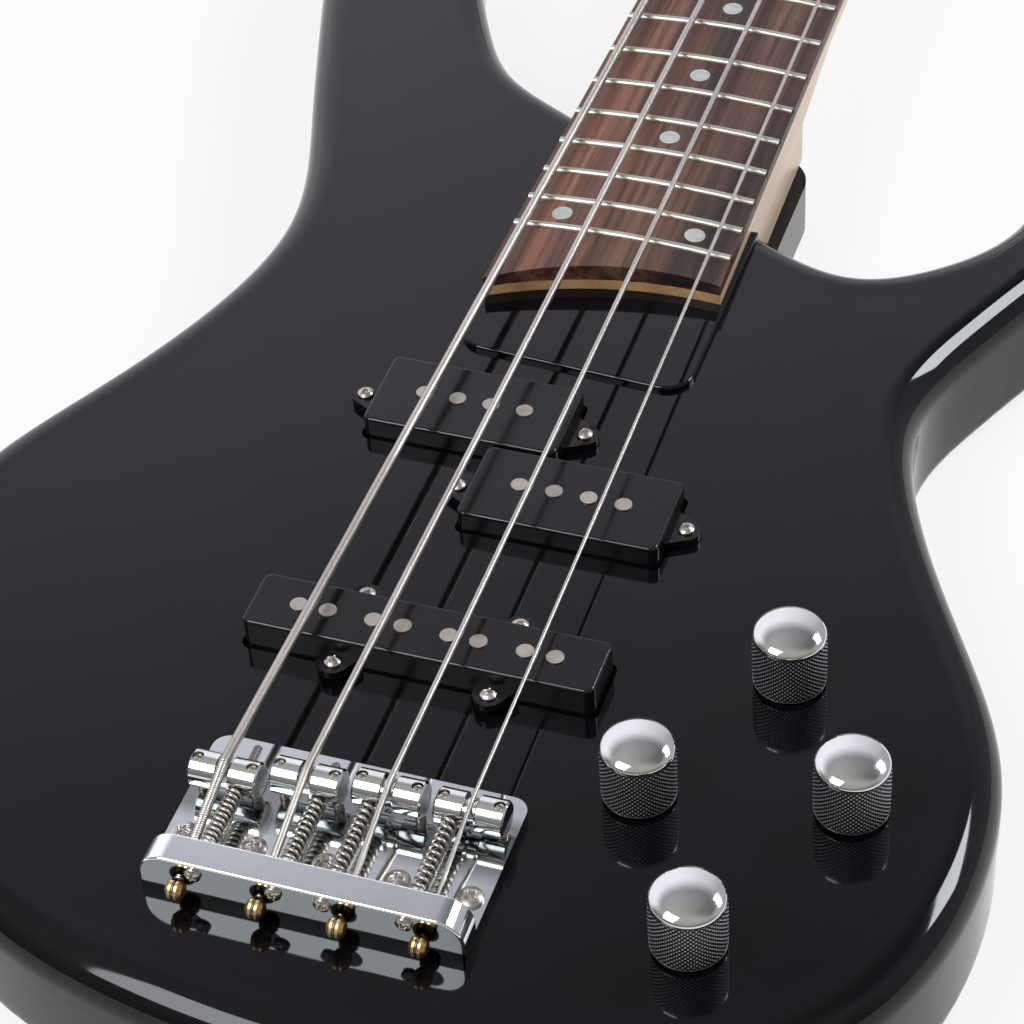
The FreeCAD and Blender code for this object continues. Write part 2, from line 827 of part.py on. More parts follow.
def head_plate():
    """The head as a flat plate with a smooth outline and softened rims."""
    half = float(cell.head_half_width)
    root_y = float(cell.scale_length)
    reach = float(cell.head_length)
    right = [Vector(cell.nut_half_width, root_y, 0)]
    right += [Vector(x * half, root_y + y * reach, 0) for x, y in head_outline_shares]
    left = [Vector(-point.x, point.y, 0) for point in reversed(right)]
    curve = Part.BSplineCurve()
    curve.interpolate(Points=right + [Vector(0, root_y + reach, 0)] + left)
    plate = prism([curve.toShape(), line(left[-1], right[0])], head_back, head_face)
    rims = [e for e in plate.Edges if close(e.BoundBox.ZLength, 0) and e.BoundBox.YLength > reach / 2]
    return plate.makeFillet(float(cell.head_edge_round), rims)


def head_slope():
    """The concave slope from the nut down to the lower face of the head."""
    half = neck_half_width(nut_back_y)
    start = float(nut_back_y)
    inside = start - float(cell.overrun)
    low = float(head_face)
    high = float(cell.neck_top)
    along, up = head_ramp_shares
    toe = Vector(-half, start + float(cell.head_ramp), low)
    hollow = Vector(-half, start + along * float(cell.head_ramp), low + up * float(cell.head_drop))
    crest = Vector(-half, start, high)
    corners = [crest, Vector(-half, inside, high), Vector(-half, inside, low), toe]
    edges = [Part.Arc(toe, hollow, crest).toShape()]
    edges += [line(first, second) for first, second in zip(corners, corners[1:])]
    return Part.Face(Part.Wire(Part.__sortEdges__(edges))).extrude(Vector(2 * half, 0, 0))


def neck_wood():
    """Heel block, tapering shaft, head and slope as one piece of wood."""
    heel = prism(neck_plan(cell.heel_reach, 0), cell.pocket_floor, cell.neck_top)
    stations = (
        (cell.heel_reach - cell.heel_corner, cell.neck_top - cell.pocket_floor, cell.neck_side_heel),
        (cell.heel_reach + cell.heel_blend, cell.neck_depth_heel, cell.neck_side),
        (cell.scale_length - cell.volute_length, cell.neck_depth_nut, cell.neck_side),
        (nut_back_y, cell.head_drop + cell.head_thickness, cell.head_drop),
    )
    shaft = Part.makeLoft([neck_section(*station) for station in stations], True, True)
    return heel.fuse([shaft, head_plate(), head_slope()]).removeSplitter()


rod_end_y = cell.scale_length - cell.rod_end_inset
access_y = cell.scale_length + cell.rod_access_start
rod_tip_z = cell.rod_floor + cell.rod_tip_radius
rod_tip_length = access_y + cell.rod_tip_reach - rod_end_y
rod_cover_start = access_y - cell.rod_cover_margin / 4
rod_cover_length = cell.rod_access_length + cell.rod_cover_margin * 2
rod_cover_screw_x = cell.rod_cover_half_width - cell.small_screw_head_radius
rod_cover_screw_places = [
    (-rod_cover_screw_x, rod_cover_start + cell.small_screw_head_radius * 2),
    (rod_cover_screw_x, rod_cover_start + cell.small_screw_head_radius * 2),
    (zero, rod_cover_start + rod_cover_length - cell.small_screw_head_radius * 2),
]
# Each tuner is drawn for the treble side and turned half way round for the bass side
tuner_sides = {"e": -1, "a": -1, "d": 1, "g": 1}
tuner_screw_places = [
    (post_places[name][0], post_places[name][1] - side * cell.housing_ear_offset)
    for name, side in tuner_sides.items()
]


def neck_cuts():
    """The truss rod's channel and every hole in the neck and head."""
    gap = cell.wood_gap
    half = cell.rod_width / 2 + gap
    start = cell.rod_start - gap
    floor = cell.rod_floor - gap
    channel = Part.makeBox(
        float(half * 2), float(rod_end_y + gap - start), float(cell.neck_top + cell.overrun - floor),
        Vector(-half, start, floor),
    )
    tip_start = Vector(0, rod_end_y, rod_tip_z)
    tip_radius = float(cell.rod_tip_radius + gap)
    tip = Part.makeCylinder(tip_radius, float(rod_tip_length), tip_start, Vector(0, 1, 0))
    access = Part.makeBox(
        float(cell.rod_access_half_width * 2), float(cell.rod_access_length),
        float(cell.rod_access_depth + cell.overrun),
        Vector(-cell.rod_access_half_width, access_y, head_face - cell.rod_access_depth),
    )
    cuts = [channel, tip, access]
    for x, y in neck_bolt_places:
        top = cell.back_inset + cell.neck_bolt_head_height + cell.neck_bolt_length
        bolt_hole = cell.neck_bolt_radius + cell.screw_gap
        cuts.append(drill(x, y, cell.pocket_floor - cell.overrun, top, bolt_hole))
    for x, y in post_places.values():
        radius = cell.bushing_radius + cell.screw_gap
        cuts.append(drill(x, y, head_back - cell.overrun, head_face + cell.overrun, radius))
    for x, y in tuner_screw_places:
        top = head_back - cell.housing_ear_thickness + cell.small_screw_length
        cuts.append(drill(x, y, head_back - cell.overrun, top, cell.small_screw_radius + cell.screw_gap))
    for x, y in rod_cover_screw_places:
        low = head_face + cell.rod_cover_thickness - cell.small_screw_length
        cuts.append(drill(x, y, low, head_face + cell.overrun, cell.small_screw_radius + cell.screw_gap))
    return cuts


neck_shape = neck_wood()
for cut_shape in neck_cuts():
    neck_shape = neck_shape.cut(cut_shape)
keep("neck", solid_feature("neck_maple", neck_shape))

rod_bar = block("rod_bar", cell.rod_width, rod_end_y - cell.rod_start, cell.rod_height,
                -cell.rod_width / 2, cell.rod_start, cell.rod_floor)
rod_tip = rod("rod_tip", cell.rod_tip_radius, rod_tip_length, zero, rod_end_y, rod_tip_z, along_y)
keep("truss_rod", joined("rod_whole", [rod_bar, rod_tip]))


# Fingerboard, frets, dots and nut

def board_drum():
    """A long cylinder whose skin is the arched playing face."""
    start = Vector(0, 0, board_top - cell.board_radius)
    length = float(cell.scale_length + cell.body_reach)
    return Part.makeCylinder(float(cell.board_radius), length, start, Vector(0, 1, 0))


def swept_round_board(section, half_width):
    """A section drawn over the middle of the board, swept to both sides along the arched face."""
    axis_point = Vector(0, 0, board_top - cell.board_radius)
    axis = Vector(0, 1, 0)
    half_angle = math.degrees(math.asin(half_width / float(cell.board_radius)))
    section.rotate(axis_point, axis, -half_angle)
    return section.revolve(axis_point, axis, 2 * half_angle)


def fret_section(y):
    """A domed crown over a thin tang."""
    top = float(board_top)
    half = float(cell.fret_width / 2)
    tang = float(cell.fret_tang_width / 2)
    low = top - float(cell.fret_tang_depth)
    peak = Vector(0, y, top + float(cell.fret_height))
    crown = Part.Arc(Vector(0, y - half, top), peak, Vector(0, y + half, top))
    corners = [
        Vector(0, y + half, top), Vector(0, y + tang, top), Vector(0, y + tang, low),
        Vector(0, y - tang, low), Vector(0, y - tang, top), Vector(0, y - half, top),
    ]
    edges = [crown.toShape()] + [line(first, second) for first, second in zip(corners, corners[1:])]
    return Part.Face(Part.Wire(Part.__sortEdges__(edges)))


def slot_section(y):
    """A saw cut for a fret's tang."""
    half = float(cell.fret_slot_width / 2)
    low = float(board_top - cell.fret_slot_depth)
    high = float(board_top + cell.overrun)
    corners = [
        Vector(0, y - half, low), Vector(0, y + half, low),
        Vector(0, y + half, high), Vector(0, y - half, high),
    ]
    return Part.Face(Part.makePolygon(corners, True))


fret_ys = [fret_y(number) for number in range(1, fret_count + 1)]
dot_places = []
for number in single_dot_frets + double_dot_frets:
    dot_y = (fret_y(number) + fret_y(number - 1)) / 2
    pair_x = float(cell.double_dot_offset) * neck_half_width(dot_y) / neck_half_width(last_fret_y)
    dot_places += [(0, dot_y)] if number in single_dot_frets else [(-pair_x, dot_y), (pair_x, dot_y)]

drum = board_drum()
board_shape = prism(neck_plan(cell.scale_length, 0), cell.neck_top, board_top).common(drum)
slots = [swept_round_board(slot_section(y), neck_half_width(y) + float(cell.overrun)) for y in fret_ys]
dot_holes = []
dots = []
for x, y in dot_places:
    floor = board_height(x) - float(cell.dot_depth)
    dot_holes.append(drill(x, y, floor, board_top + cell.overrun, cell.dot_radius))
    dots.append(drill(x, y, floor, board_top, cell.dot_radius - cell.screw_gap).common(drum))
board_shape = board_shape.cut(Part.makeCompound(slots)).cut(Part.makeCompound(dot_holes))
keep("fretboard", solid_feature("board_rosewood", board_shape))
frets = [
    swept_round_board(fret_section(y), neck_half_width(y) - float(cell.fret_end_inset))
    for y in fret_ys
]
keep("frets", solid_feature("fret_wires", Part.makeCompound(frets)))
keep("position_dots", solid_feature("dot_discs", Part.makeCompound(dots)))


# Route of the strings: ball end, bar, saddle, nut and post

def half_string(name):
    """Radius of a string."""
    return float(getattr(cell, f"string_{name}_diameter")) / 2


def string_across(number, y):
    """Distance of a string from the middle, at a distance along the scale."""
    run = y / float(cell.scale_length)
    spacing = float(cell.bridge_string_spacing) * (1 - run) + float(cell.nut_string_spacing) * run
    return string_place_shares[number] * spacing


def string_place(number, y):
    """A point on the axis of a string's straight run between saddle and nut."""
    name = string_names[number]
    scale = float(cell.scale_length)
    last = float(last_fret_y)
    lift = float(cell.fret_height) + half_string(name)
    nut_z = board_height(string_across(number, scale)) + lift + float(cell.nut_action)
    last_z = board_height(string_across(number, last)) + lift + float(getattr(cell, f"action_{name}"))
    slope = (nut_z - last_z) / (scale - last)
    return Vector(string_across(number, y), y, nut_z + slope * (y - scale))


def bend(before, corner, after, radius):
    """Where a rounded corner starts, its middle, its end and its centre."""
    into = (corner - before).normalize()
    out = (after - corner).normalize()
    half = into.getAngle(out) / 2
    inward = (out - into).normalize()
    reach = radius * math.tan(half)
    centre = corner + inward * (radius / math.cos(half))
    return corner - into * reach, centre - inward * radius, corner + out * reach, centre


def arc_with_tangent(start, end, handle):
    """The arc between two points whose end tangents meet at a handle point."""
    middle = (start + end) / 2
    chord = (end - start).Length / 2
    rise = (handle - middle).Length
    side = (handle - start).Length
    radius = chord * side / rise
    sagitta = radius - math.sqrt(radius ** 2 - chord ** 2)
    return Part.Arc(start, middle + (handle - middle) * (sagitta / rise), end).toShape()


def biarc(start, start_way, end, end_way):
    """Two arcs that lead smoothly from one point and direction to another."""
    across = end - start
    ways = start_way + end_way
    bend_share = 2 * (1 - start_way.dot(end_way))
    along = across.dot(ways)
    reach = (math.sqrt(along ** 2 + bend_share * across.dot(across)) - along) / bend_share
    first = start + start_way * reach
    second = end - end_way * reach
    joint = (first + second) / 2
    return [arc_with_tangent(start, joint, first), arc_with_tangent(joint, end, second)]


def tube(edges, radius):
    """A round wire along a chain of smooth edges, closed at both ends."""
    path = Part.Wire(edges)
    first = edges[0]
    start = first.valueAt(first.FirstParameter)
    way = first.tangentAt(first.FirstParameter)
    circle = Part.Wire([Part.Circle(start, way, radius).toShape()])
    return path.makePipeShell([circle], True, False)


def least_gap(edges, radius, half_turn):
    """The smallest air between curls of a wire, from points along its path."""
    points = []
    travelled = 0
    for edge in edges:
        for share in (0, 0.25, 0.5, 0.75):
            place_on = edge.getParameterByLength(edge.Length * share)
            points.append((travelled + edge.Length * share, edge.valueAt(place_on)))
        travelled += edge.Length
    return min(
        (first - second).Length - 2 * radius
        for index, (run, first) in enumerate(points)
        for later, second in points[index + 1:]
        if later - run > half_turn
    )


def string_route(number):
    """Edges of one string's axis, with the places that other pieces take from it."""
    name = string_names[number]
    radius = half_string(name)
    corner = string_place(number, -float(getattr(cell, f"saddle_{name}_setback")))
    ball_y = -float(cell.bridge_back + cell.ball_radius + cell.running_gap)
    ball = Vector(corner.x + float(cell.ball_shift), ball_y, body_top + cell.ball_hole_height)
    tail_way = (corner - ball).normalize()
    start = ball + tail_way * float(cell.ball_bore_radius)
    nut_corner = string_place(number, float(nut_back_y + cell.nut_corner_reach))
    post_x, post_y = (float(length) for length in post_places[name])
    side = tuner_sides[name]
    turn = -side
    wrap = float(cell.post_waist_radius + cell.turning_gap) + radius
    to_post = Vector(post_x - nut_corner.x, post_y - nut_corner.y, 0)
    reach = math.sqrt(to_post.Length ** 2 - wrap ** 2)
    heading = math.atan2(to_post.y, to_post.x) + side * math.asin(wrap / to_post.Length)
    touch_x = nut_corner.x + reach * math.cos(heading)
    touch_y = nut_corner.y + reach * math.sin(heading)
    touch = Vector(touch_x, touch_y, head_face + cell.wrap_start)
    rest = float(cell.saddle_groove_radius + cell.string_rest_gap) + radius
    on_saddle = bend(ball, corner, nut_corner, rest)
    on_nut = bend(corner, nut_corner, touch, float(cell.string_bend_radius))
    edges = [
        line(start, on_saddle[0]),
        Part.Arc(*on_saddle[:3]).toShape(),
        line(on_saddle[2], on_nut[0]),
        Part.Arc(*on_nut[:3]).toShape(),
        line(on_nut[2], touch),
    ]
    edges += post_wrap_edges(touch, touch - on_nut[2], (post_x, post_y), wrap, turn, 2 * radius)
    return {
        "edges": edges,
        "ball": ball,
        "tail_way": tail_way,
        "tail_start": start,
        "saddle_axis": Vector(corner.x, on_saddle[3].y, on_saddle[3].z),
        "wrap_edges": edges[5:],
        "wrap_radius": wrap,
    }


def post_wrap_edges(touch, run_in, post, wrap, turn, thickness):
    """Turns of a string down its post, starting the way it runs in, with a straight end."""
    pitch = thickness + float(cell.wrap_gap)
    quarter_drop = pitch / quarter_turns
    quarter_run = wrap * math.pi / 2
    way = Vector(run_in).normalize()
    first_drop = (quarter_drop - quarter_run * way.z / math.hypot(way.x, way.y)) / 2
    angle = math.atan2(touch.y - post[1], touch.x - post[0])
    here = touch
    edges = []
    for step in range(1, post_wraps * quarter_turns + 1):
        angle += turn * math.pi / 2
        drop = first_drop if step == 1 else quarter_drop
        there = Vector(post[0] + wrap * math.cos(angle), post[1] + wrap * math.sin(angle), here.z - drop)
        slope = -pitch / (2 * math.pi * wrap)
        next_way = Vector(-turn * math.sin(angle), turn * math.cos(angle), slope).normalize()
        edges += biarc(here, way, there, next_way)
        here = there
        way = next_way
    edges.append(line(here, here + way * thickness))
    return edges


routes = {name: string_route(number) for number, name in enumerate(string_names)}
for name in string_names:
    route = routes[name]
    radius = half_string(name)
    keep(f"string_{name}", solid_feature(f"string_{name}_wire", tube(route["edges"], radius)))
    gap = least_gap(route["wrap_edges"], radius, route["wrap_radius"] * math.pi)
    print(f"string_{name}: least gap between wraps {gap:.2f} mm")


def ball_end(name):
    """A grooved spool lying across the string, with a hole for the string's end."""
    route = routes[name]
    half = cell.ball_length / 2
    edge = cell.ball_edge
    groove = cell.ball_groove / 2
    radius = cell.ball_radius
    spool = lathe(f"ball_{name}_spool", [
        (zero, -half), (radius - edge, -half), (radius, edge - half), (radius, -groove),
        (cell.ball_waist_radius, -groove), (cell.ball_waist_radius, groove), (radius, groove),
        (radius, half - edge), (radius - edge, half), (zero, half),
    ])
    put(spool, route["ball"], along_x)
    hole_radius = half_string(name) + float(cell.screw_gap)
    hole_depth = float(radius + cell.overrun)
    hole = Part.makeCylinder(hole_radius, hole_depth, route["tail_start"], route["tail_way"])
    return carved(f"ball_{name}_end", spool, [solid_feature(f"ball_{name}_hole", hole)])


keep("ball_ends", collect("ball_group", [ball_end(name) for name in string_names]))


def nut_slot(number):
    """A round-bottomed slot in the nut along one string, open at the top."""
    radius = half_string(string_names[number]) + float(cell.nut_slot_gap)
    start = string_place(number, float(cell.scale_length - cell.overrun))
    end = string_place(number, float(nut_back_y + cell.overrun))
    way = end - start
    round_floor = Part.makeCylinder(radius, way.Length, start, way)
    height = float(cell.neck_top + cell.nut_height + cell.overrun) - start.z
    open_top = Part.makeBox(2 * radius, way.Length, height, Vector(-radius, 0, 0))
    sideways = math.degrees(math.atan2(-way.x, way.y))
    open_top.Placement = Placement(start, Rotation(Vector(0, 0, 1), sideways))
    return solid_feature(f"nut_slot_{string_names[number]}", round_floor.fuse(open_top))


nut_block = block("nut_block", cell.nut_half_width * 2, cell.nut_thickness, cell.nut_height,
                  -cell.nut_half_width, cell.scale_length, cell.neck_top)
keep("nut", carved("nut_bone", nut_block, [nut_slot(number) for number in range(len(string_names))]))


# Screws, all plain rods with a flat head; drives and threads belong to the finish

def screw(name, sizes, x, y, seat, head_way):
    """A screw with its head above (1) or below (-1) the seat it is tightened on."""
    radius, length, head_radius, head_height = sizes
    above = head_way > 0
    shank = rod(f"{name}_shank", radius, length, x, y, seat - length if above else seat)
    head = rod(f"{name}_head", head_radius, head_height, x, y, seat if above else seat - head_height)
    return joined(name, [shank, head])


small_screw = (
    cell.small_screw_radius, cell.small_screw_length,
    cell.small_screw_head_radius, cell.small_screw_head_height,
)
pickup_screw = (
    cell.pickup_screw_radius, cell.pickup_screw_length,
    cell.pickup_screw_head_radius, cell.pickup_screw_head_height,
)
bridge_screw = (
    cell.bridge_screw_radius, cell.bridge_screw_length,
    cell.bridge_screw_head_radius, cell.bridge_screw_head_height,
)
neck_bolt = (
    cell.neck_bolt_radius, cell.neck_bolt_length,
    cell.neck_bolt_head_radius, cell.neck_bolt_head_height,
)
neck_bolt_seat = cell.back_inset + cell.neck_bolt_head_height
cover_screw_seat = cell.back_inset + cell.small_screw_head_height
small_screws = [
    screw(f"cover_screw_{index}", small_screw, fixed(x), fixed(y), cover_screw_seat, -1)
    for index, (x, y) in enumerate(cover_screw_places)
]
small_screws += [
    screw(f"rod_cover_screw_{index}", small_screw, x, y, head_face + cell.rod_cover_thickness, 1)
    for index, (x, y) in enumerate(rod_cover_screw_places)
]
small_screws += [
    screw(f"tuner_screw_{index}", small_screw, x, y, head_back - cell.housing_ear_thickness, -1)
    for index, (x, y) in enumerate(tuner_screw_places)
]
keep("small_screws", collect("small_screw_group", small_screws))
pickup_screws = [
    screw(f"split_screw_{index}", pickup_screw, x, y, body_top + cell.split_ear_rise, 1)
    for index, (x, y) in enumerate(split_screw_places)
]
pickup_screws += [
    screw(f"bar_screw_{index}", pickup_screw, x, y, body_top + cell.bar_ear_rise, 1)
    for index, (x, y) in enumerate(bar_screw_places)
]
keep("pickup_screws", collect("pickup_screw_group", pickup_screws))
keep("bridge_screws", collect("bridge_screw_group", [
    screw(f"bridge_screw_{index}", bridge_screw, x, y, plate_top, 1)
    for index, (x, y) in enumerate(bridge_screw_places)
]))
keep("neck_bolts", collect("neck_bolt_group", [
    screw(f"neck_bolt_{index}", neck_bolt, x, y, neck_bolt_seat, -1)
    for index, (x, y) in enumerate(neck_bolt_places)
]))


def ferrule(index, x, y):
    """A ring let into the back, with a step for the bolt's head."""
    bore = cell.neck_bolt_radius + cell.screw_gap
    step = cell.neck_bolt_head_radius + cell.screw_gap
    ring = lathe(f"ferrule_{index}", [
        (step, zero), (cell.ferrule_radius, zero), (cell.ferrule_radius, cell.ferrule_height),
        (bore, cell.ferrule_height), (bore, cell.neck_bolt_head_height), (step, cell.neck_bolt_head_height),
    ])
    return place(ring, x, y, cell.back_inset)


ferrules = [ferrule(index, x, y) for index, (x, y) in enumerate(neck_bolt_places)]
keep("neck_ferrules", collect("ferrule_group", ferrules))

rod_cover = rounded_block(
    -cell.rod_cover_half_width, cell.rod_cover_half_width,
    rod_cover_start, rod_cover_start + rod_cover_length,
    head_face, head_face + cell.rod_cover_thickness, cell.rod_cover_corner,
)
for x, y in rod_cover_screw_places:
    hole_top = head_face + cell.rod_cover_thickness + cell.overrun
    hole_radius = cell.small_screw_radius + cell.screw_gap
    rod_cover = rod_cover.cut(drill(x, y, head_face - cell.overrun, hole_top, hole_radius))
keep("truss_rod_cover", solid_feature("rod_cover_plate", rod_cover))


# Pickups

def pickup_cover(name, x, y, length, width, rise, ears, ear_rise, poles):
    """A hollow cover with rounded corners, screw ears at its foot and a hole for every pole."""
    bottom = body_top - cell.pickup_depth
    height = cell.pickup_depth + rise
    body = doc.addObject("PartDesign::Body", name)
    outer = new_sketch(body, f"{name}_outline", "XY_Plane", bottom)
    draw_polygon(outer, rectangle(x, y, length, width))
    case = extrude_sketch(body, "Pad", outer, height)
    corners = round_edges(body, case, f"{name}_corners", cell.pickup_corner, upright)
    top = bottom + height
    rim = round_edges(body, corners, f"{name}_rim", cell.pickup_edge, lambda e: close(e.BoundBox.ZMin, top))
    body.Tip = rim
    for index, (ear_x, ear_y) in enumerate(ears):
        ear_low = body_top + ear_rise - cell.pickup_ear_thickness
        ear = new_sketch(body, f"{name}_ear_{index}", "XY_Plane", ear_low)
        draw_circle(ear, ear_x, ear_y, cell.pickup_ear_radius)
        extrude_sketch(body, "Pad", ear, cell.pickup_ear_thickness)
        web = new_sketch(body, f"{name}_web_{index}", "XY_Plane", ear_low)
        draw_polygon(web, ear_web(ear_x - x, ear_y - y, x, y, length, width))
        extrude_sketch(body, "Pad", web, cell.pickup_ear_thickness)
    inner = new_sketch(body, f"{name}_hollow", "XY_Plane", bottom)
    draw_polygon(inner, rectangle(x, y, length - cell.pickup_wall * 2, width - cell.pickup_wall * 2))
    extrude_sketch(body, "Pocket", inner, height - cell.pickup_wall, True)
    holes = new_sketch(body, f"{name}_holes", "XY_Plane", bottom)
    for pole_x, pole_y in poles:
        draw_circle(holes, pole_x, pole_y, cell.pole_radius + cell.screw_gap)
    for ear_x, ear_y in ears:
        draw_circle(holes, ear_x, ear_y, cell.pickup_screw_radius + cell.screw_gap)
    extrude_sketch(body, "Pocket", holes, height + cell.overrun, True)
    return body


def ear_web(across, along, x, y, length, width):
    """Corners of the web from a cover's wall to an ear, along lines that touch the ear's round end."""
    at_end = abs(float(across)) > float(length) / 2
    if at_end:
        way = Vector(math.copysign(1, float(across)), 0, 0)
        depth = abs(float(across)) - float(length) / 2
    else:
        way = Vector(0, math.copysign(1, float(along)), 0)
        depth = abs(float(along)) - float(width) / 2
    side = Vector(-way.y, way.x, 0)
    half = float(cell.pickup_ear_base)
    radius = float(cell.pickup_ear_radius)
    lean = math.acos(radius / math.hypot(half, depth)) - math.atan2(depth, half)
    centre = Vector(x + across, y + along, 0)
    foot = centre - way * (depth + float(cell.pickup_wall) / 2)
    touch = centre + way * (radius * math.sin(lean))
    reach = side * (radius * math.cos(lean))
    corners = [foot - side * half, touch - reach, touch + reach, foot + side * half]
    return [(fixed(corner.x), fixed(corner.y)) for corner in corners]


def rectangle(x, y, length, width):
    """Corners of a rectangle about a centre."""
    return [
        (x - length / 2, y - width / 2), (x + length / 2, y - width / 2),
        (x + length / 2, y + width / 2), (x - length / 2, y + width / 2),
    ]


def pole_rods(name, poles, rise):
    """Magnet rods that just stand out of a cover."""
    bottom = body_top - cell.pickup_depth
    length = cell.pickup_depth + rise + cell.pole_proud
    return [rod(f"{name}_{i}", cell.pole_radius, length, x, y, bottom) for i, (x, y) in enumerate(poles)]


def coil_block(name, x, y, length, width, poles, rise):
    """The coil inside a cover, with a hole for every pole."""
    inset = (cell.pickup_wall + cell.coil_gap) * 2
    bottom = body_top - cell.pickup_depth
    height = cell.pickup_depth + rise - cell.pickup_wall - cell.coil_gap
    coil_length = length - inset
    coil_width = width - inset
    coil = block(name, coil_length, coil_width, height, x - coil_length / 2, y - coil_width / 2, bottom)
    radius = cell.pole_radius + cell.screw_gap
    holes = [rod(f"{name}_{i}", radius, height, px, py, bottom) for i, (px, py) in enumerate(poles)]
    return carved(f"{name}_wound", coil, holes)


# Places of the poles along a split half, in pole pitches from its middle
split_pole_shares = (-1.5, -0.5, 0.5, 1.5)
split_covers = []
poles_made = []
coils = []
for half_name, (x, y) in split_places.items():
    poles = [(x + cell.split_pole_pitch * share, y + cell.split_pole_shift) for share in split_pole_shares]
    ears = [(x + side * cell.split_ear_offset, y) for side in (-1, 1)]
    split_covers.append(pickup_cover(
        f"split_{half_name}", x, y, cell.split_length, cell.split_width, cell.split_rise,
        ears, cell.split_ear_rise, poles,
    ))
    poles_made += pole_rods(f"split_{half_name}_pole", poles, cell.split_rise)
    coils.append(coil_block(
        f"split_{half_name}_coil", x, y, cell.split_length, cell.split_width, poles, cell.split_rise,
    ))
keep("split_pickup_covers", collect("split_cover_group", split_covers))
under_strings = [cell.bar_pickup_x + cell.bridge_string_spacing * share for share in string_place_shares]
bar_poles = [
    (x + side * cell.bar_pole_pair / 2, cell.bar_pickup_y)
    for x in under_strings
    for side in (-1, 1)
]
keep("bridge_pickup_cover", pickup_cover(
    "bar_pickup", cell.bar_pickup_x, cell.bar_pickup_y, cell.bar_pickup_length, cell.bar_pickup_width,
    cell.bar_pickup_rise, bar_screw_places, cell.bar_ear_rise, bar_poles,
))
poles_made += pole_rods("bar_pole", bar_poles, cell.bar_pickup_rise)
coils.append(coil_block(
    "bar_coil", cell.bar_pickup_x, cell.bar_pickup_y, cell.bar_pickup_length, cell.bar_pickup_width,
    bar_poles, cell.bar_pickup_rise,
))
keep("pole_pieces", collect("pole_group", poles_made))
keep("pickup_coils", collect("coil_group", coils))


# Bridge

def bridge_metal():
    """A plate and a tall rear bar with rounded upper ends, before its holes."""
    half = cell.bridge_half_width
    body = doc.addObject("PartDesign::Body", "bridge_casting")
    plate = new_sketch(body, "bridge_base", "XY_Plane", body_top)
    draw_polygon(plate, [
        (-half, -cell.bridge_back), (half, -cell.bridge_back),
        (half, cell.bridge_front), (-half, cell.bridge_front),
    ])
    base = extrude_sketch(body, "Pad", plate, cell.bridge_plate_thickness)
    front = round_edges(
        body, base, "bridge_front_corners", cell.bridge_corner,
        lambda edge: upright(edge) and edge.BoundBox.YMin > 0,
    )
    body.Tip = front
    bar = new_sketch(body, "bridge_bar", "XY_Plane", body_top)
    draw_polygon(bar, [
        (-half, -cell.bridge_back), (half, -cell.bridge_back), (half, bar_front_y), (-half, bar_front_y),
    ])
    tall = extrude_sketch(body, "Pad", bar, cell.bridge_bar_height)
    bar_top = body_top + cell.bridge_bar_height
    ends = round_edges(
        body, tall, "bridge_bar_ends", cell.bridge_bar_round,
        lambda edge: close(edge.BoundBox.ZMin, bar_top) and close(edge.BoundBox.XLength, 0),
    )
    rims = round_edges(
        body, ends, "bridge_bar_rims", cell.bridge_edge,
        lambda edge: edge.BoundBox.ZMin > float(plate_top + cell.bridge_edge)
        and close(edge.BoundBox.YLength, 0)
        and edge.BoundBox.XLength > float(half),
    )
    body.Tip = rims
    return body


def intonation_x(number):
    """Where a saddle's long screw lies: beside its string, towards the middle of the bridge."""
    name = string_names[number]
    towards_middle = -math.copysign(1, string_place_shares[number])
    return routes[name]["saddle_axis"].x + towards_middle * float(cell.intonation_offset)


bridge_holes = [
    rod(f"bridge_hole_{index}", cell.bridge_screw_radius + cell.screw_gap, cell.bridge_plate_thickness,
        x, y, body_top)
    for index, (x, y) in enumerate(bridge_screw_places)
]
for number, name in enumerate(string_names):
    route = routes[name]
    hole_radius = half_string(name) + float(cell.turning_gap)
    hole_depth = float(cell.bridge_bar_depth + cell.ball_radius + cell.overrun)
    through = Part.makeCylinder(hole_radius, hole_depth, route["ball"], route["tail_way"])
    bridge_holes.append(solid_feature(f"bridge_string_hole_{name}", through))
    bridge_holes.append(rod(
        f"bridge_intonation_hole_{name}", cell.intonation_radius + cell.screw_gap, cell.bridge_bar_depth,
        fixed(intonation_x(number)), -cell.bridge_back, intonation_z, along_y,
    ))
keep("bridge_plate", carved("bridge_drilled", bridge_metal(), bridge_holes))


def intonation_screw(number):
    """The long screw that reaches from behind the bar through the spring and the saddle."""
    name = string_names[number]
    x = fixed(intonation_x(number))
    head_start = -cell.bridge_back - cell.intonation_head_height
    length = cell.bridge_back + cell.intonation_tip
    shank = rod(
        f"intonation_shank_{name}", cell.intonation_radius, length,
        x, -cell.bridge_back, intonation_z, along_y,
    )
    head = rod(
        f"intonation_head_{name}", cell.intonation_head_radius, cell.intonation_head_height,
        x, head_start, intonation_z, along_y,
    )
    return joined(f"intonation_screw_{name}", [shank, head])


intonation_screws = [intonation_screw(number) for number in range(len(string_names))]
keep("intonation_screws", collect("intonation_group", intonation_screws))


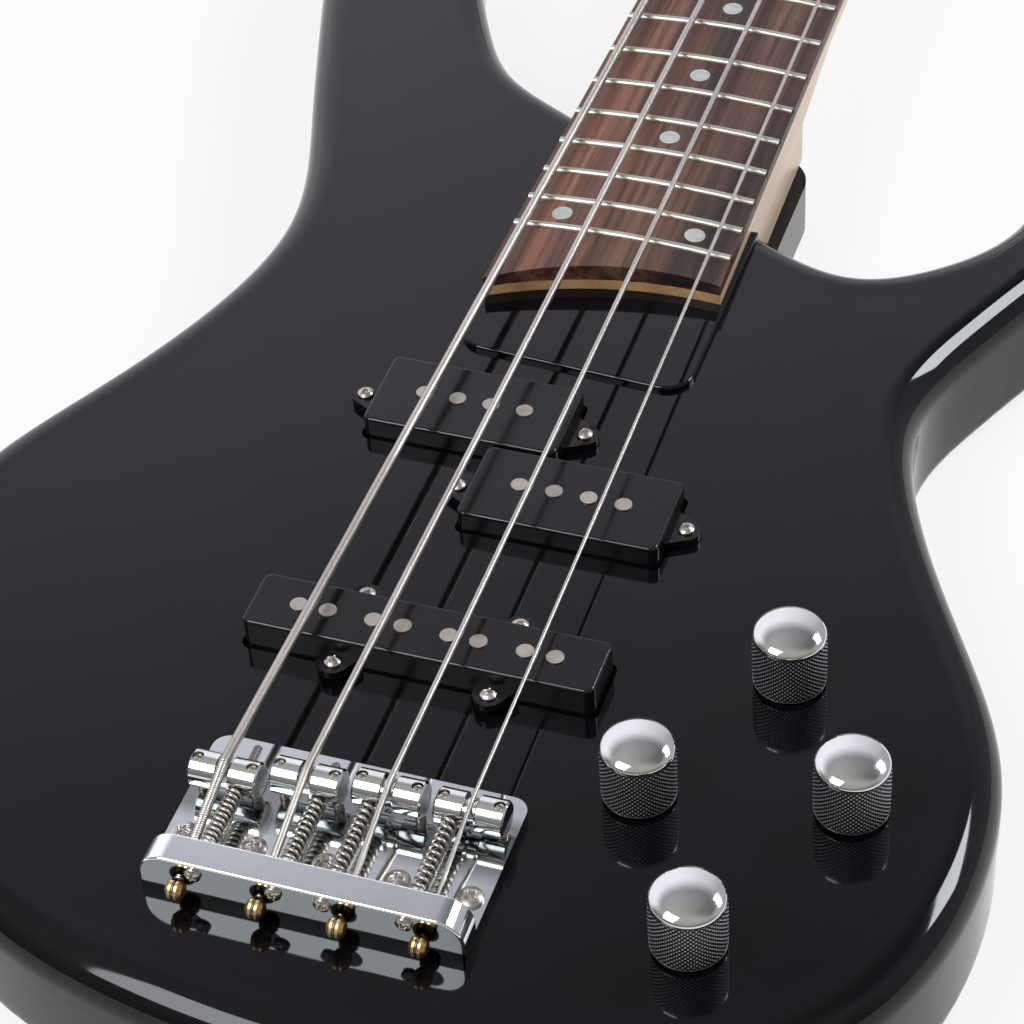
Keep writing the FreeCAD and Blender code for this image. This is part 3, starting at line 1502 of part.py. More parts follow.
def saddle(number):
    """A turned barrel with a groove for the string and holes for its three screws."""
    name = string_names[number]
    axis = routes[name]["saddle_axis"]
    half = cell.saddle_width / 2
    edge = cell.saddle_edge
    mouth = cell.saddle_groove_width / 2
    floor = cell.saddle_groove_floor / 2
    radius = cell.saddle_radius
    barrel = lathe(f"saddle_{name}_barrel", [
        (zero, -half), (radius - edge, -half), (radius, edge - half), (radius, -mouth),
        (cell.saddle_groove_radius, -floor), (cell.saddle_groove_radius, floor), (radius, mouth),
        (radius, half - edge), (radius - edge, half), (zero, half),
    ])
    put(barrel, axis, along_x)
    hole_length = radius * 2 + cell.overrun * 2
    hole_low = fixed(axis.z) - radius - cell.overrun
    holes = [
        rod(f"saddle_{name}_hole_{side}", cell.height_screw_radius + cell.screw_gap, hole_length,
            fixed(axis.x) + side * cell.height_screw_offset, fixed(axis.y), hole_low)
        for side in (-1, 1)
    ]
    holes.append(rod(
        f"saddle_{name}_long_hole", cell.intonation_radius + cell.running_gap, hole_length,
        fixed(intonation_x(number)), fixed(axis.y) - radius - cell.overrun, intonation_z, along_y,
    ))
    return carved(f"saddle_{name}_drilled", barrel, holes)


def height_screws(name):
    """The two grub screws that a saddle stands on."""
    axis = routes[name]["saddle_axis"]
    bottom = plate_top + cell.running_gap
    length = fixed(axis.z) + cell.saddle_radius - cell.height_screw_recess - bottom
    return collect(f"saddle_{name}_feet", [
        rod(f"saddle_{name}_foot_{side}", cell.height_screw_radius, length,
            fixed(axis.x) + side * cell.height_screw_offset, fixed(axis.y), bottom)
        for side in (-1, 1)
    ])


def spring_edges(number):
    """A coil between bar and saddle, in quarter turns, with a straight tip at each end."""
    axis = routes[string_names[number]]["saddle_axis"]
    radius = float(cell.spring_radius)
    wire = float(cell.spring_wire_radius)
    start = float(bar_front_y) + 2 * wire
    end = axis.y - float(cell.saddle_radius) - 2 * wire
    pitch = (end - start) / spring_curls
    centre_x = intonation_x(number)

    def on_coil(step):
        angle = step * math.pi / 2
        place_on = Vector(
            centre_x + radius * math.cos(angle), start + pitch * step / quarter_turns,
            float(intonation_z) + radius * math.sin(angle),
        )
        way = Vector(-radius * math.sin(angle), pitch / (2 * math.pi), radius * math.cos(angle))
        return place_on, way.normalize()

    steps = [on_coil(step) for step in range(spring_curls * quarter_turns + 1)]
    edges = [line(steps[0][0] - steps[0][1] * (2 * wire), steps[0][0])]
    for (here, way), (there, next_way) in zip(steps, steps[1:]):
        edges += biarc(here, way, there, next_way)
    edges.append(line(steps[-1][0], steps[-1][0] + steps[-1][1] * (2 * wire)))
    return edges


for number, name in enumerate(string_names):
    keep(f"saddle_{name}", saddle(number))
    keep(f"saddle_{name}_height_screws", height_screws(name))
    coil_edges = spring_edges(number)
    wire = float(cell.spring_wire_radius)
    keep(f"saddle_{name}_spring", solid_feature(f"spring_{name}", tube(coil_edges, wire)))
    gap = least_gap(coil_edges, wire, float(cell.spring_radius) * math.pi)
    print(f"saddle_{name}_spring: least gap between curls {gap:.2f} mm")


# Controls

def potentiometer(name, x, y):
    """A round can under the top with a threaded collar up through it and a bore for the shaft."""
    can_top = body_top - cell.cavity_top_wall
    bore = cell.pot_shaft_radius + cell.running_gap
    collar_top = cell.cavity_top_wall + cell.pot_bushing_proud
    floor = -cell.pot_height + cell.pot_wall
    can = lathe(f"pot_{name}", [
        (zero, -cell.pot_height), (cell.pot_radius, -cell.pot_height), (cell.pot_radius, zero),
        (cell.pot_bushing_radius, zero), (cell.pot_bushing_radius, collar_top), (bore, collar_top),
        (bore, floor), (zero, floor),
    ])
    return place(can, x, y, can_top)


def panel_nut(name, x, y, z, rotation=None):
    """A hexagonal nut that holds a threaded collar."""
    corner = cell.panel_nut_flat * 2 / math.sqrt(3)
    hexagon = doc.addObject("Part::Prism", f"{name}_hexagon")
    hexagon.Polygon = 6
    hexagon.setExpression("Circumradius", corner.formula)
    hexagon.setExpression("Height", cell.panel_nut_height.formula)
    place(hexagon, x, y, z, rotation)
    hole_radius = cell.pot_bushing_radius + cell.screw_gap
    hole = rod(f"{name}_hole", hole_radius, cell.panel_nut_height, x, y, z, rotation)
    return carved(f"{name}_nut", hexagon, [hole])


def knob(name, x, y):
    """A straight-sided knob with a domed crown, hollow underneath and bored for the shaft."""
    bore = cell.pot_shaft_radius + cell.screw_gap
    crown = cell.knob_radius - cell.knob_rim
    shoulder = cell.knob_side + cell.knob_rim
    dome_radius = (crown * crown + cell.knob_dome * cell.knob_dome) / (cell.knob_dome * 2)
    corners = [
        (bore, cell.knob_skirt_depth), (cell.knob_skirt_radius, cell.knob_skirt_depth),
        (cell.knob_skirt_radius, zero), (cell.knob_radius, zero), (cell.knob_radius, cell.knob_side),
        (crown, shoulder), (zero, shoulder + cell.knob_dome), (zero, cell.knob_bore_depth),
        (bore, cell.knob_bore_depth),
    ]
    return place(lathe(f"knob_{name}", corners, {5: dome_radius}), x, y, body_top + cell.knob_gap)


pots = []
panel_nuts = []
for name, (x, y) in knob_places.items():
    pots.append(potentiometer(name, x, y))
    panel_nuts.append(panel_nut(f"pot_{name}", x, y, body_top))
    keep(f"knob_{name}", knob(name, x, y))
    shaft_low = body_top - cell.cavity_top_wall - cell.pot_height + cell.pot_wall + cell.running_gap
    shaft_top = body_top + cell.knob_gap + cell.knob_bore_depth - cell.running_gap
    shaft = rod(f"shaft_{name}", cell.pot_shaft_radius, shaft_top - shaft_low, x, y, shaft_low)
    keep(f"pot_shaft_{name}", shaft)
keep("control_pots", collect("pot_group", pots))

cover_margin = cell.cavity_margin + cell.cavity_ledge - cell.wood_gap
cover_shape = prism(control_outline(cover_margin), cell.back_inset, cell.back_inset + cell.cover_thickness)
for x, y in cover_screw_places:
    shank_hole = cell.small_screw_radius + cell.screw_gap
    head_hole = cell.small_screw_head_radius + cell.screw_gap
    cover_shape = cover_shape.cut(drill(x, y, 0, cell.cover_thickness * 2, shank_hole))
    cover_shape = cover_shape.cut(drill(x, y, 0, cover_screw_seat, head_hole))
keep("control_cover", solid_feature("cover_plate", cover_shape))

jack_mouth_y = -cell.jack_seat - cell.jack_proud
jack_barrel = rod("jack_barrel", cell.pot_bushing_radius, cell.jack_length + cell.jack_proud,
                  cell.jack_x, jack_mouth_y, cell.jack_height, along_y)
jack_bore = rod("jack_bore", cell.jack_bore_radius, cell.jack_bore_depth,
                cell.jack_x, jack_mouth_y, cell.jack_height, along_y)
keep("jack_socket", carved("jack_bored", jack_barrel, [jack_bore]))
panel_nuts.append(panel_nut("jack", cell.jack_x, -cell.jack_seat, cell.jack_height, against_y))
keep("panel_nuts", collect("panel_nut_group", panel_nuts))


# Strap buttons

def strap_button(name):
    """A turned button with a waist for the strap and a step for its screw's head."""
    bore = cell.button_screw_radius + cell.screw_gap
    step = cell.button_screw_head_radius + cell.screw_gap
    step_floor = cell.button_height - cell.button_screw_head_height
    return lathe(name, [
        (bore, zero), (cell.button_base_radius, zero), (cell.button_neck_radius, cell.button_neck_start),
        (cell.button_neck_radius, cell.button_head_start),
        (cell.button_head_radius, cell.button_height - cell.button_rim),
        (cell.button_head_radius, cell.button_height),
        (step, cell.button_height), (step, step_floor), (bore, step_floor),
    ])


def strap_screw(name):
    """The screw of a strap button, upright with its head at the button's face."""
    step_floor = cell.button_height - cell.button_screw_head_height
    return lathe(name, [
        (zero, step_floor - cell.button_screw_length),
        (cell.button_screw_radius, step_floor - cell.button_screw_length),
        (cell.button_screw_radius, step_floor), (cell.button_screw_head_radius, step_floor),
        (cell.button_screw_head_radius, cell.button_height), (zero, cell.button_height),
    ])


buttons = []
button_screws = []
for end_name, tip, outward, rotation in (("horn", horn_tip, 1, along_y), ("tail", tail_tip, -1, against_y)):
    seat_point = Vector(tip.x, tip.y - outward * float(cell.button_seat_depth), body_top / 2)
    buttons.append(put(strap_button(f"button_{end_name}"), seat_point, rotation))
    button_screws.append(put(strap_screw(f"button_screw_{end_name}"), seat_point, rotation))
keep("strap_buttons", collect("button_group", buttons))
keep("strap_screws", collect("button_screw_group", button_screws))


# Tuning machines

half_turn = Rotation(Vector(0, 0, 1), 180)


def tuner_housing(name):
    """A closed gear case under the head, with an ear for its screw and bores for post and key."""
    low = -cell.housing_height
    case = rounded_block(
        -cell.housing_inner, cell.housing_outer, -cell.housing_near, cell.housing_far,
        low, 0, cell.housing_corner,
    )
    ear = drill(0, -cell.housing_ear_offset, -cell.housing_ear_thickness, 0, cell.housing_ear_radius)
    ear_hole = drill(0, -cell.housing_ear_offset, low, cell.overrun, cell.small_screw_radius + cell.screw_gap)
    post_bore = drill(0, 0, -cell.post_bore_depth, cell.overrun, cell.post_radius + cell.running_gap)
    key_inner = cell.housing_outer - cell.key_shaft_depth
    key_start = Vector(key_inner, cell.key_shaft_offset, -cell.key_shaft_height)
    key_bore = Part.makeCylinder(
        float(cell.key_shaft_radius + cell.running_gap), float(cell.key_shaft_depth + cell.overrun),
        key_start, Vector(1, 0, 0),
    )
    shape = case.fuse(ear).cut(Part.makeCompound([ear_hole, post_bore, key_bore]))
    return solid_feature(f"housing_{name}", shape)


def tuner_bushing(name):
    """A sleeve through the head with a flange on its face, bored for the post."""
    bore = cell.post_radius + cell.running_gap
    return lathe(f"bushing_{name}", [
        (bore, -cell.head_thickness), (cell.bushing_radius, -cell.head_thickness),
        (cell.bushing_radius, zero),
        (cell.bushing_flange_radius, zero), (cell.bushing_flange_radius, cell.bushing_flange),
        (bore, cell.bushing_flange),
    ])


def tuner_post(name):
    """A turned post with a waist for the string and a slot across its cap."""
    low = cell.running_gap - cell.head_thickness - cell.post_bore_depth
    post = lathe(f"post_{name}_turned", [
        (zero, low), (cell.post_radius, low), (cell.post_radius, cell.post_waist_start),
        (cell.post_waist_radius, cell.post_waist_start), (cell.post_waist_radius, cell.post_cap_start),
        (cell.post_cap_radius, cell.post_cap_start), (cell.post_cap_radius, cell.post_height),
        (zero, cell.post_height),
    ])
    slot = block(f"post_{name}_slot", cell.post_cap_radius * 4, cell.post_slot_width, cell.post_slot_depth,
                 -cell.post_cap_radius * 2, -cell.post_slot_width / 2,
                 cell.post_height - cell.post_slot_depth)
    return carved(f"post_{name}_slotted", post, [slot])


def tuner_key(name):
    """A key: shaft, collar and an oval button, lying along X from the shaft's inner end."""
    inner_x = abs(float(post_places[name][0])) + float(cell.housing_outer - cell.key_shaft_depth)
    length = float(cell.key_button_start) - inner_x
    x_axis = Vector(1, 0, 0)
    shaft_start = Vector(cell.running_gap, 0, 0)
    shaft = Part.makeCylinder(float(cell.key_shaft_radius), length, shaft_start, x_axis)
    collar_start = Vector(length - float(cell.key_collar_length) / 2, 0, 0)
    collar_radius = float(cell.key_collar_radius)
    collar = Part.makeCylinder(collar_radius, float(cell.key_collar_length), collar_start, x_axis)
    centre = Vector(length + float(cell.key_button_length) / 2, 0, -cell.key_button_thickness / 2)
    oval = Part.Ellipse(centre, float(cell.key_button_length) / 2, float(cell.key_button_width) / 2)
    button = Part.Face(Part.Wire([oval.toShape()])).extrude(Vector(0, 0, cell.key_button_thickness))
    flat_rims = [edge for edge in button.Edges if close(edge.BoundBox.ZLength, 0)]
    button = button.makeFillet(float(cell.key_button_round), flat_rims)
    key = solid_feature(f"key_{name}", shaft.fuse([collar, button]).removeSplitter())
    return key, inner_x


housings = []
bushings = []
for name, side in tuner_sides.items():
    post_x, post_y = post_places[name]
    rotation = Rotation() if side > 0 else half_turn
    housings.append(place(tuner_housing(name), post_x, post_y, head_back, rotation))
    bushings.append(place(tuner_bushing(name), post_x, post_y, head_face))
    keep(f"tuner_{name}_post", place(tuner_post(name), post_x, post_y, head_face))
    key, inner_x = tuner_key(name)
    key_y = post_y + side * cell.key_shaft_offset
    key_point = Vector(side * inner_x, key_y, head_back - cell.key_shaft_height)
    keep(f"tuner_{name}_key", put(key, key_point, rotation))
keep("tuner_housings", collect("housing_group", housings))
keep("tuner_bushings", collect("bushing_group", bushings))


# Check every object and write the nodes

doc.recompute()
for thing in doc.Objects:
    if "Invalid" in thing.State or "Error" in thing.State:
        raise RuntimeError(f"{thing.Label} did not build: {thing.State}")
for label, thing in nodes.items():
    shape = thing.Shape
    if shape.isNull() or not shape.isValid() or not shape.Solids:
        raise RuntimeError(f"{label} is not a sound solid")
    shape.exportStep(f"parts/{label}.step")
print(f"{len(nodes)} nodes written")
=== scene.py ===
# %% [markdown]
# # A four-string electric bass under studio light
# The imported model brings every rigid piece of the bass, in metres, each riding on the body it moves
# with. This lesson keeps those shapes, gives each a finish, and replaces the small turned and wound
# pieces by finer surfaces. The frame comes first, because every later number is measured from it.

# %% Load the frame and keep its box
import json
import math

import bpy
import numpy as np
from mathutils import Matrix, Vector


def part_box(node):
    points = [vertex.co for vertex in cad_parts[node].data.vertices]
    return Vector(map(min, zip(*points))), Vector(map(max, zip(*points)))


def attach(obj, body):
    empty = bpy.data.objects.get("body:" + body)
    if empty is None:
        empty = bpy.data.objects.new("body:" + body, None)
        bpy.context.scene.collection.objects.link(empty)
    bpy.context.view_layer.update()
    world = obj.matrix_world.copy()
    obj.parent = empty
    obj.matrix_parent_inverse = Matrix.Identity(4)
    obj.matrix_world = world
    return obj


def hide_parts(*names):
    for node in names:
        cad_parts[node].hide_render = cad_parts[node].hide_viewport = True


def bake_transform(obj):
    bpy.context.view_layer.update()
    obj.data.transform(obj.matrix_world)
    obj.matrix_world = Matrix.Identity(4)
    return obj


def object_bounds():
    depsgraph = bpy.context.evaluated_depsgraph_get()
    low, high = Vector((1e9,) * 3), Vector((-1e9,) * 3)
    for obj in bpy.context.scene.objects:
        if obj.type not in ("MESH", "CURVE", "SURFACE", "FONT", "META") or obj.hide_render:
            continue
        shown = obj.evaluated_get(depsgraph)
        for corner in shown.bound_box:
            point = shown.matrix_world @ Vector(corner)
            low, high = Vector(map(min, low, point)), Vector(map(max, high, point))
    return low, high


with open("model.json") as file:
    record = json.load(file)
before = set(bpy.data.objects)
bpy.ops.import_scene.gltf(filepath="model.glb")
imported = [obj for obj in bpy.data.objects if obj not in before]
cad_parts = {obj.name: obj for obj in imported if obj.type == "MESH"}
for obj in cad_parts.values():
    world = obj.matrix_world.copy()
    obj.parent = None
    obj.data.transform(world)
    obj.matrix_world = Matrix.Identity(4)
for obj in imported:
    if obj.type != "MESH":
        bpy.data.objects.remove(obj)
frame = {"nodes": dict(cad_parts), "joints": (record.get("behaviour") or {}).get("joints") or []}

cad_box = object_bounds()
mm = 0.001
turn = 2 * math.pi
string_names = "eadg"
knob_kinds = ("volume", "treble", "bass", "blend")

# %% [markdown]
# ## Camera
# The photograph looks down the body from the tail, a little from the thin-string side, through a
# long lens. Its place and its three directions were solved from points whose place on a bass is
# known: frets, strings, bridge. A camera can be aimed with a tracking constraint, but a plain
# matrix says exactly what was solved, so the matrix is used.

# %% Camera at the photograph's place
picture_side = 1024
lens_in_pixels = 3260.157
camera_place = Vector((235.198, -483.481, 639.920)) * mm
view_right = Vector((0.94611838, 0.31964214, -0.05185473))
view_down = Vector((0.18441997, -0.66349992, -0.72509112))
view_forward = Vector((-0.26617529, 0.67645899, -0.68669786))
camera_data = bpy.data.cameras.new("photo_camera")
camera_data.sensor_width = 36
camera_data.lens = camera_data.sensor_width * lens_in_pixels / picture_side
camera_data.clip_start = 0.01
camera = bpy.data.objects.new("photo_camera", camera_data)
bpy.context.collection.objects.link(camera)
turned = Matrix((view_right, -view_down, -view_forward)).transposed().to_4x4()
camera.matrix_world = Matrix.Translation(camera_place) @ turned
bpy.context.scene.camera = camera
bpy.context.scene.view_settings.view_transform = "Standard"
print("lens in mm:", round(camera_data.lens, 2))

# %% [markdown]
# ## Helpers for surfaces
# Turned, knurled and wound pieces are all the same kind of surface: a stack of closed rings. A ring
# is a row of points, the rows follow a profile or a path, and both ends close on one middle point.
# Whole arrays go to the mesh at once, which is quick and keeps the formula readable.

# %% Mesh from stacks of rings
def ring_piece(name, rings, material, lengths=None, endless=False):
    """Closed skins over rings[copy, row, column]: quads between neighbouring rows, a fan at each end.
    An endless stack has no ends: its last row joins its first.
    The map's U is the share of the way round and its V is the length along the rows in metres."""
    rings = np.asarray(rings, dtype=float)
    if rings.ndim == 3:
        rings = rings[None]
    copies, rows, columns, _ = rings.shape
    poles = np.stack([rings[:, 0].mean(axis=1), rings[:, -1].mean(axis=1)], axis=1)
    points = np.concatenate([rings.reshape(copies, -1, 3), poles[:, :0 if endless else 2]], axis=1)
    here = np.arange(rows * columns).reshape(rows, columns)
    beside = np.roll(here, -1, axis=1)
    quads = np.stack([here, beside, np.roll(beside, -1, axis=0), np.roll(here, -1, axis=0)], axis=-1)
    quads = quads[:rows if endless else rows - 1].reshape(-1, 4)
    pole = np.full(columns, rows * columns)
    fans = np.concatenate([np.stack([pole, beside[0], here[0]], axis=-1),
                           np.stack([pole + 1, here[-1], beside[-1]], axis=-1)])
    fans = fans[:0 if endless else 2 * columns]
    shift = (np.arange(copies) * points.shape[1])[:, None, None]
    all_quads = (quads + shift).reshape(-1, 4)
    all_fans = (fans + shift).reshape(-1, 3)
    mesh = bpy.data.meshes.new(name)
    mesh.vertices.add(points.shape[0] * points.shape[1])
    mesh.vertices.foreach_set("co", points.ravel())
    corners = np.concatenate([all_quads.ravel(), all_fans.ravel()])
    mesh.loops.add(len(corners))
    mesh.loops.foreach_set("vertex_index", corners.astype(np.int32))
    starts = np.concatenate([np.arange(len(all_quads)) * 4, all_quads.size + np.arange(len(all_fans)) * 3])
    mesh.polygons.add(len(starts))
    mesh.polygons.foreach_set("loop_start", starts.astype(np.int32))
    mesh.polygons.foreach_set("use_smooth", np.ones(len(starts), dtype=bool))
    mesh.update(calc_edges=True)
    if lengths is None:
        lengths = np.arange(rows + 1) / rows
    around = (quads[:, :1] % columns + np.array([0, 1, 1, 0])) / columns
    along = np.asarray(lengths)[quads[:, :1] // columns + np.array([0, 0, 1, 1])]
    quad_map = np.tile(np.stack([around, along], axis=-1).reshape(-1, 2), (copies, 1))
    ends = np.repeat([lengths[0], lengths[-1]], 3 * columns)[:fans.size]
    fan_map = np.tile(np.stack([np.zeros_like(ends), ends], axis=-1), (copies, 1))
    layer = mesh.uv_layers.new(name="way_round_and_along")
    layer.data.foreach_set("uv", np.concatenate([quad_map, fan_map]).ravel())
    mesh.validate()
    mesh.materials.append(material)
    piece = bpy.data.objects.new(name, mesh)
    bpy.context.collection.objects.link(piece)
    return piece


def unit(vectors):
    """Vectors of the same ways, each with length 1."""
    return vectors / np.linalg.norm(vectors, axis=-1, keepdims=True)


def round_rings(radius, height):
    """Rings round the Z axis from a radius and a height for each row and column."""
    radius, height = np.broadcast_arrays(radius, height)
    angle = np.arange(radius.shape[1]) / radius.shape[1] * turn
    return np.stack([radius * np.cos(angle), radius * np.sin(angle), height], axis=-1)


def turned_rings(profile, columns):
    """Rings of a turned piece: each (radius, height) of the profile swept round the Z axis."""
    profile = np.asarray(profile, dtype=float)
    return round_rings(np.repeat(profile[:, :1], columns, axis=1), profile[:, 1:])


def tube_rings(path, radius, columns, reference):
    """Rings of a wire: at each path point a circle across the path, set square by a reference way."""
    way = unit(np.gradient(path, axis=0))
    side = unit(np.cross(way, reference))
    up = np.cross(way, side)
    angle = np.arange(columns) / columns * turn
    radius = np.broadcast_to(radius, (len(path), columns))[..., None]
    across = np.cos(angle)[:, None] * side[:, None] + np.sin(angle)[:, None] * up[:, None]
    return path[:, None] + radius * across


print("helpers for rings ready")

# %% [markdown]
# ## Helpers for nodes
# Finishes and modifiers are both trees of nodes. One short call adds a node with its settings and
# wires, so a tree reads from top to bottom.

# %% Node helpers
vector_math = "ShaderNodeVectorMath"


def wire(owner, node, inputs):
    """Sets a node's own sockets; an input is a plain value or another node's output."""
    tree = getattr(owner, "node_tree", owner)
    for name, value in inputs.items():
        if isinstance(value, bpy.types.NodeSocket):
            tree.links.new(value, node.inputs[name])
        else:
            node.inputs[name].default_value = value


def add(owner, kind, inputs=None, **settings):
    """One new node in the tree of a material, a world or a modifier."""
    made = getattr(owner, "node_tree", owner).nodes.new(kind)
    for name, value in settings.items():
        setattr(made, name, value)
    wire(owner, made, inputs or {})
    return made


def combine(owner, operation, *values, kind="ShaderNodeMath", output=0):
    """A number or a vector made of others by one operation."""
    return add(owner, kind, dict(enumerate(values)), operation=operation).outputs[output]


def mix(owner, share, first, second, blend="MIX"):
    """A colour that goes from the first to the second, or to both multiplied, by a share."""
    return add(owner, "ShaderNodeMixRGB", {
        "Fac": share, "Color1": first, "Color2": second}, blend_type=blend).outputs[0]


def axes(owner, vector):
    """The X, Y and Z of a vector."""
    return add(owner, "ShaderNodeSeparateXYZ", {"Vector": vector}).outputs


def own_space(owner, kind="Object"):
    """Places in the piece's own space, or texture coordinates of another kind."""
    return add(owner, "ShaderNodeTexCoord").outputs[kind]


def ramp(owner, source, stops):
    """Colours at places from 0 to 1, blended in between."""
    made = add(owner, "ShaderNodeValToRGB", {"Fac": source})
    while len(made.color_ramp.elements) < len(stops):
        made.color_ramp.elements.new(0.5)
    for element, (place, colour) in zip(made.color_ramp.elements, stops):
        element.position = place
        element.color = (*colour, 1)
    return made.outputs["Color"]


def spread(owner, source, low, high, from_low=0.3, from_high=0.7, **settings):
    """A source spread between two values, and held there beyond its own two ends."""
    return add(owner, "ShaderNodeMapRange", {
        "Value": source, "From Min": from_low, "From Max": from_high, "To Min": low, "To Max": high},
        **settings).outputs[0]


print("helpers for nodes ready")

# %% [markdown]
# ## Smooth faces on the imported nodes
# A imported node is a mesh of loose triangles that shades as flat facets, and its mesh has to stay. A
# geometry-nodes modifier works on the result only and leaves the mesh as it is: it joins the triangles,
# shades them smooth and keeps an edge sharp above a clear angle. A Weighted Normal modifier keeps flat
# faces flat up to a rounded edge. The saddles' bright barrels get the way of a true cylinder, as thin
# triangles would ripple them.

# %% Smoothing modifier for the imported nodes
join_distance = 2e-6
sharp_angle = math.radians(24)
flat_sided = ("body", "bridge_plate", "bridge_pickup_cover", "split_pickup_covers", "control_cover",
              "truss_rod_cover", "neck", "fretboard", "nut", "tuner_housings", "strap_buttons")


def modifier_tree(name):
    """An empty tree for a modifier, with what comes in and the node that takes what goes out."""
    tree = bpy.data.node_groups.new(name, "GeometryNodeTree")
    for way in ("INPUT", "OUTPUT"):
        tree.interface.new_socket("Geometry", in_out=way, socket_type="NodeSocketGeometry")
    return tree, add(tree, "NodeGroupInput").outputs[0], add(tree, "NodeGroupOutput")


def smoothing_tree():
    """Nodes that merge touching points, shade smooth, and keep edges above the angle sharp."""
    tree, start, end = modifier_tree("smooth_up_to_an_angle")
    merged = add(tree, "GeometryNodeMergeByDistance", {"Geometry": start, "Distance": join_distance})
    smooth = add(tree, "GeometryNodeSetShadeSmooth", {"Geometry": merged.outputs[0]}, domain="FACE")
    angle = add(tree, "GeometryNodeInputMeshEdgeAngle").outputs["Unsigned Angle"]
    above = combine(tree, "GREATER_THAN", angle, sharp_angle, kind="FunctionNodeCompare")
    sharp = add(tree, "GeometryNodeSetShadeSmooth", {
        "Geometry": smooth.outputs[0], "Selection": above, "Shade Smooth": False}, domain="EDGE")
    wire(tree, end, {0: sharp.outputs[0]})
    return tree


smooth_faces = smoothing_tree()
for node in frame["nodes"].values():
    node.modifiers.new("smooth_faces", "NODES").node_group = smooth_faces
for name in flat_sided:
    frame["nodes"][name].modifiers.new("flat_faces_lead", "WEIGHTED_NORMAL").keep_sharp = True
print("smoothing set on", len(frame["nodes"]), "nodes")

# %% True roundness for the saddles
side_agreement = 0.97


def barrel_tree(name, centre):
    """Nodes that turn each corner of a barrel's side exactly away from the barrel's axis, which runs along
    X through the centre. A face belongs to the side if its own way and the way off the axis nearly agree."""
    tree, start, end = modifier_tree(name)
    place = add(tree, "GeometryNodeInputPosition").outputs[0]
    off_axis = combine(tree, "MULTIPLY_ADD", place, (0, 1, 1), (0, -centre[1], -centre[2]), kind=vector_math)
    radial = combine(tree, "NORMALIZE", off_axis, kind=vector_math)
    own = add(tree, "GeometryNodeInputNormal").outputs["True Normal"]
    on_face = add(tree, "GeometryNodeFieldOnDomain", {0: own}, domain="FACE", data_type="FLOAT_VECTOR")
    flat = on_face.outputs[0]
    agree = combine(tree, "DOT_PRODUCT", flat, radial, kind=vector_math, output="Value")
    on_side = combine(tree, "GREATER_THAN", agree, side_agreement, kind="FunctionNodeCompare")
    chosen = add(tree, "GeometryNodeSwitch", {
        "Switch": on_side, "False": flat, "True": radial}, input_type="VECTOR")
    rounded = add(tree, "GeometryNodeSetMeshNormal", {
        "Mesh": start, "Custom Normal": chosen.outputs[0]}, mode="FREE", domain="CORNER")
    wire(tree, end, {0: rounded.outputs[0]})
    return tree


saddles = {}
for name in string_names:
    low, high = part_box(f"saddle_{name}")
    saddles[name] = (np.array(low) + np.array(high)) / 2
    barrel = frame["nodes"][f"saddle_{name}"].modifiers.new("true_barrel", "NODES")
    barrel.node_group = barrel_tree(f"true_barrel_{name}", saddles[name])
print({name: np.round(place / mm, 2).tolist() for name, place in saddles.items()})

# %% [markdown]
# ## Helpers for finishes
# A finish is a Principled shader whose colour, roughness and bump come from noise in the piece's own
# space. Most finishes drift between two tones and need only their numbers.

# %% Finish helpers
def new_finish(name):
    """An empty material and its main shader."""
    material = bpy.data.materials.new(name)
    material.use_nodes = True
    return material, material.node_tree.nodes["Principled BSDF"]


def noise(material, scale, stretch=(1, 1, 1), detail=3):
    """Noise in the piece's own space, in features per metre, stretched by a factor on each axis."""
    mapped = add(material, "ShaderNodeMapping", {"Vector": own_space(material), "Scale": stretch})
    return add(material, "ShaderNodeTexNoise", {
        "Vector": mapped.outputs[0], "Scale": scale, "Detail": detail, "Roughness": 0.55}).outputs[0]


def bump(material, source, strength, distance):
    """A bump of a height in metres from a 0-to-1 source."""
    return add(material, "ShaderNodeBump", {
        "Height": source, "Strength": strength, "Distance": distance}).outputs[0]


def finish(name, tone, low, high, roughness, grain=None, relief=(0, 0), **shader_values):
    """A material whose colour and roughness drift with one noise, the tone. A second noise, the grain,
    lifts the surface by a relief of strength and height. A shader value's underscores stand for spaces."""
    made, shader = new_finish(name)
    drift = noise(made, **tone)
    wire(made, shader, {"Base Color": ramp(made, drift, [(0.3, low), (0.7, high)]),
                        "Roughness": spread(made, drift, *roughness)})
    if grain:
        wire(made, shader, {"Normal": bump(made, noise(made, **grain), *relief)})
    wire(made, shader, {socket.replace("_", " "): value for socket, value in shader_values.items()})
    return made


def dress(material, *names):
    """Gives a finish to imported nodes, in their own material slots."""
    for name in names:
        node = frame["nodes"][name]
        if not node.material_slots:
            node.data.materials.append(material)
        for slot in node.material_slots:
            slot.material = material


print("helpers for finishes ready")

# %% [markdown]
# ## Black lacquer
# The body is sprayed black, cleared and buffed to a mirror. Real lacquer is never quite flat: it has
# a faint orange peel and a haze of polishing marks. A smooth Principled shader gives the mirror, and
# two noises give the haze and the very shallow peel.

# %% Black lacquer
lacquer = finish(
    "black_lacquer_finish", dict(scale=35, detail=4), (0.0026, 0.0025, 0.0038), (0.0038, 0.0036, 0.0054),
    (0.04, 0.075), dict(scale=260, detail=2), (0.05, 0.03 * mm), Specular_IOR_Level=0.31)
dress(lacquer, "body")
print("lacquer on the body")

# %% [markdown]
# ## Rounded edge of the body
# The edge of the top is rounded over, sanded and buffed, and the lamps draw long clean lines along
# it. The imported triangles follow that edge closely, but a mirror shows each of them as a ripple. A
# bevel can't help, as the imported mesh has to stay. So a thin coat of lacquer is laid over the edge: a
# quarter round carried along the outline, a smooth closed curve through the body's own points.

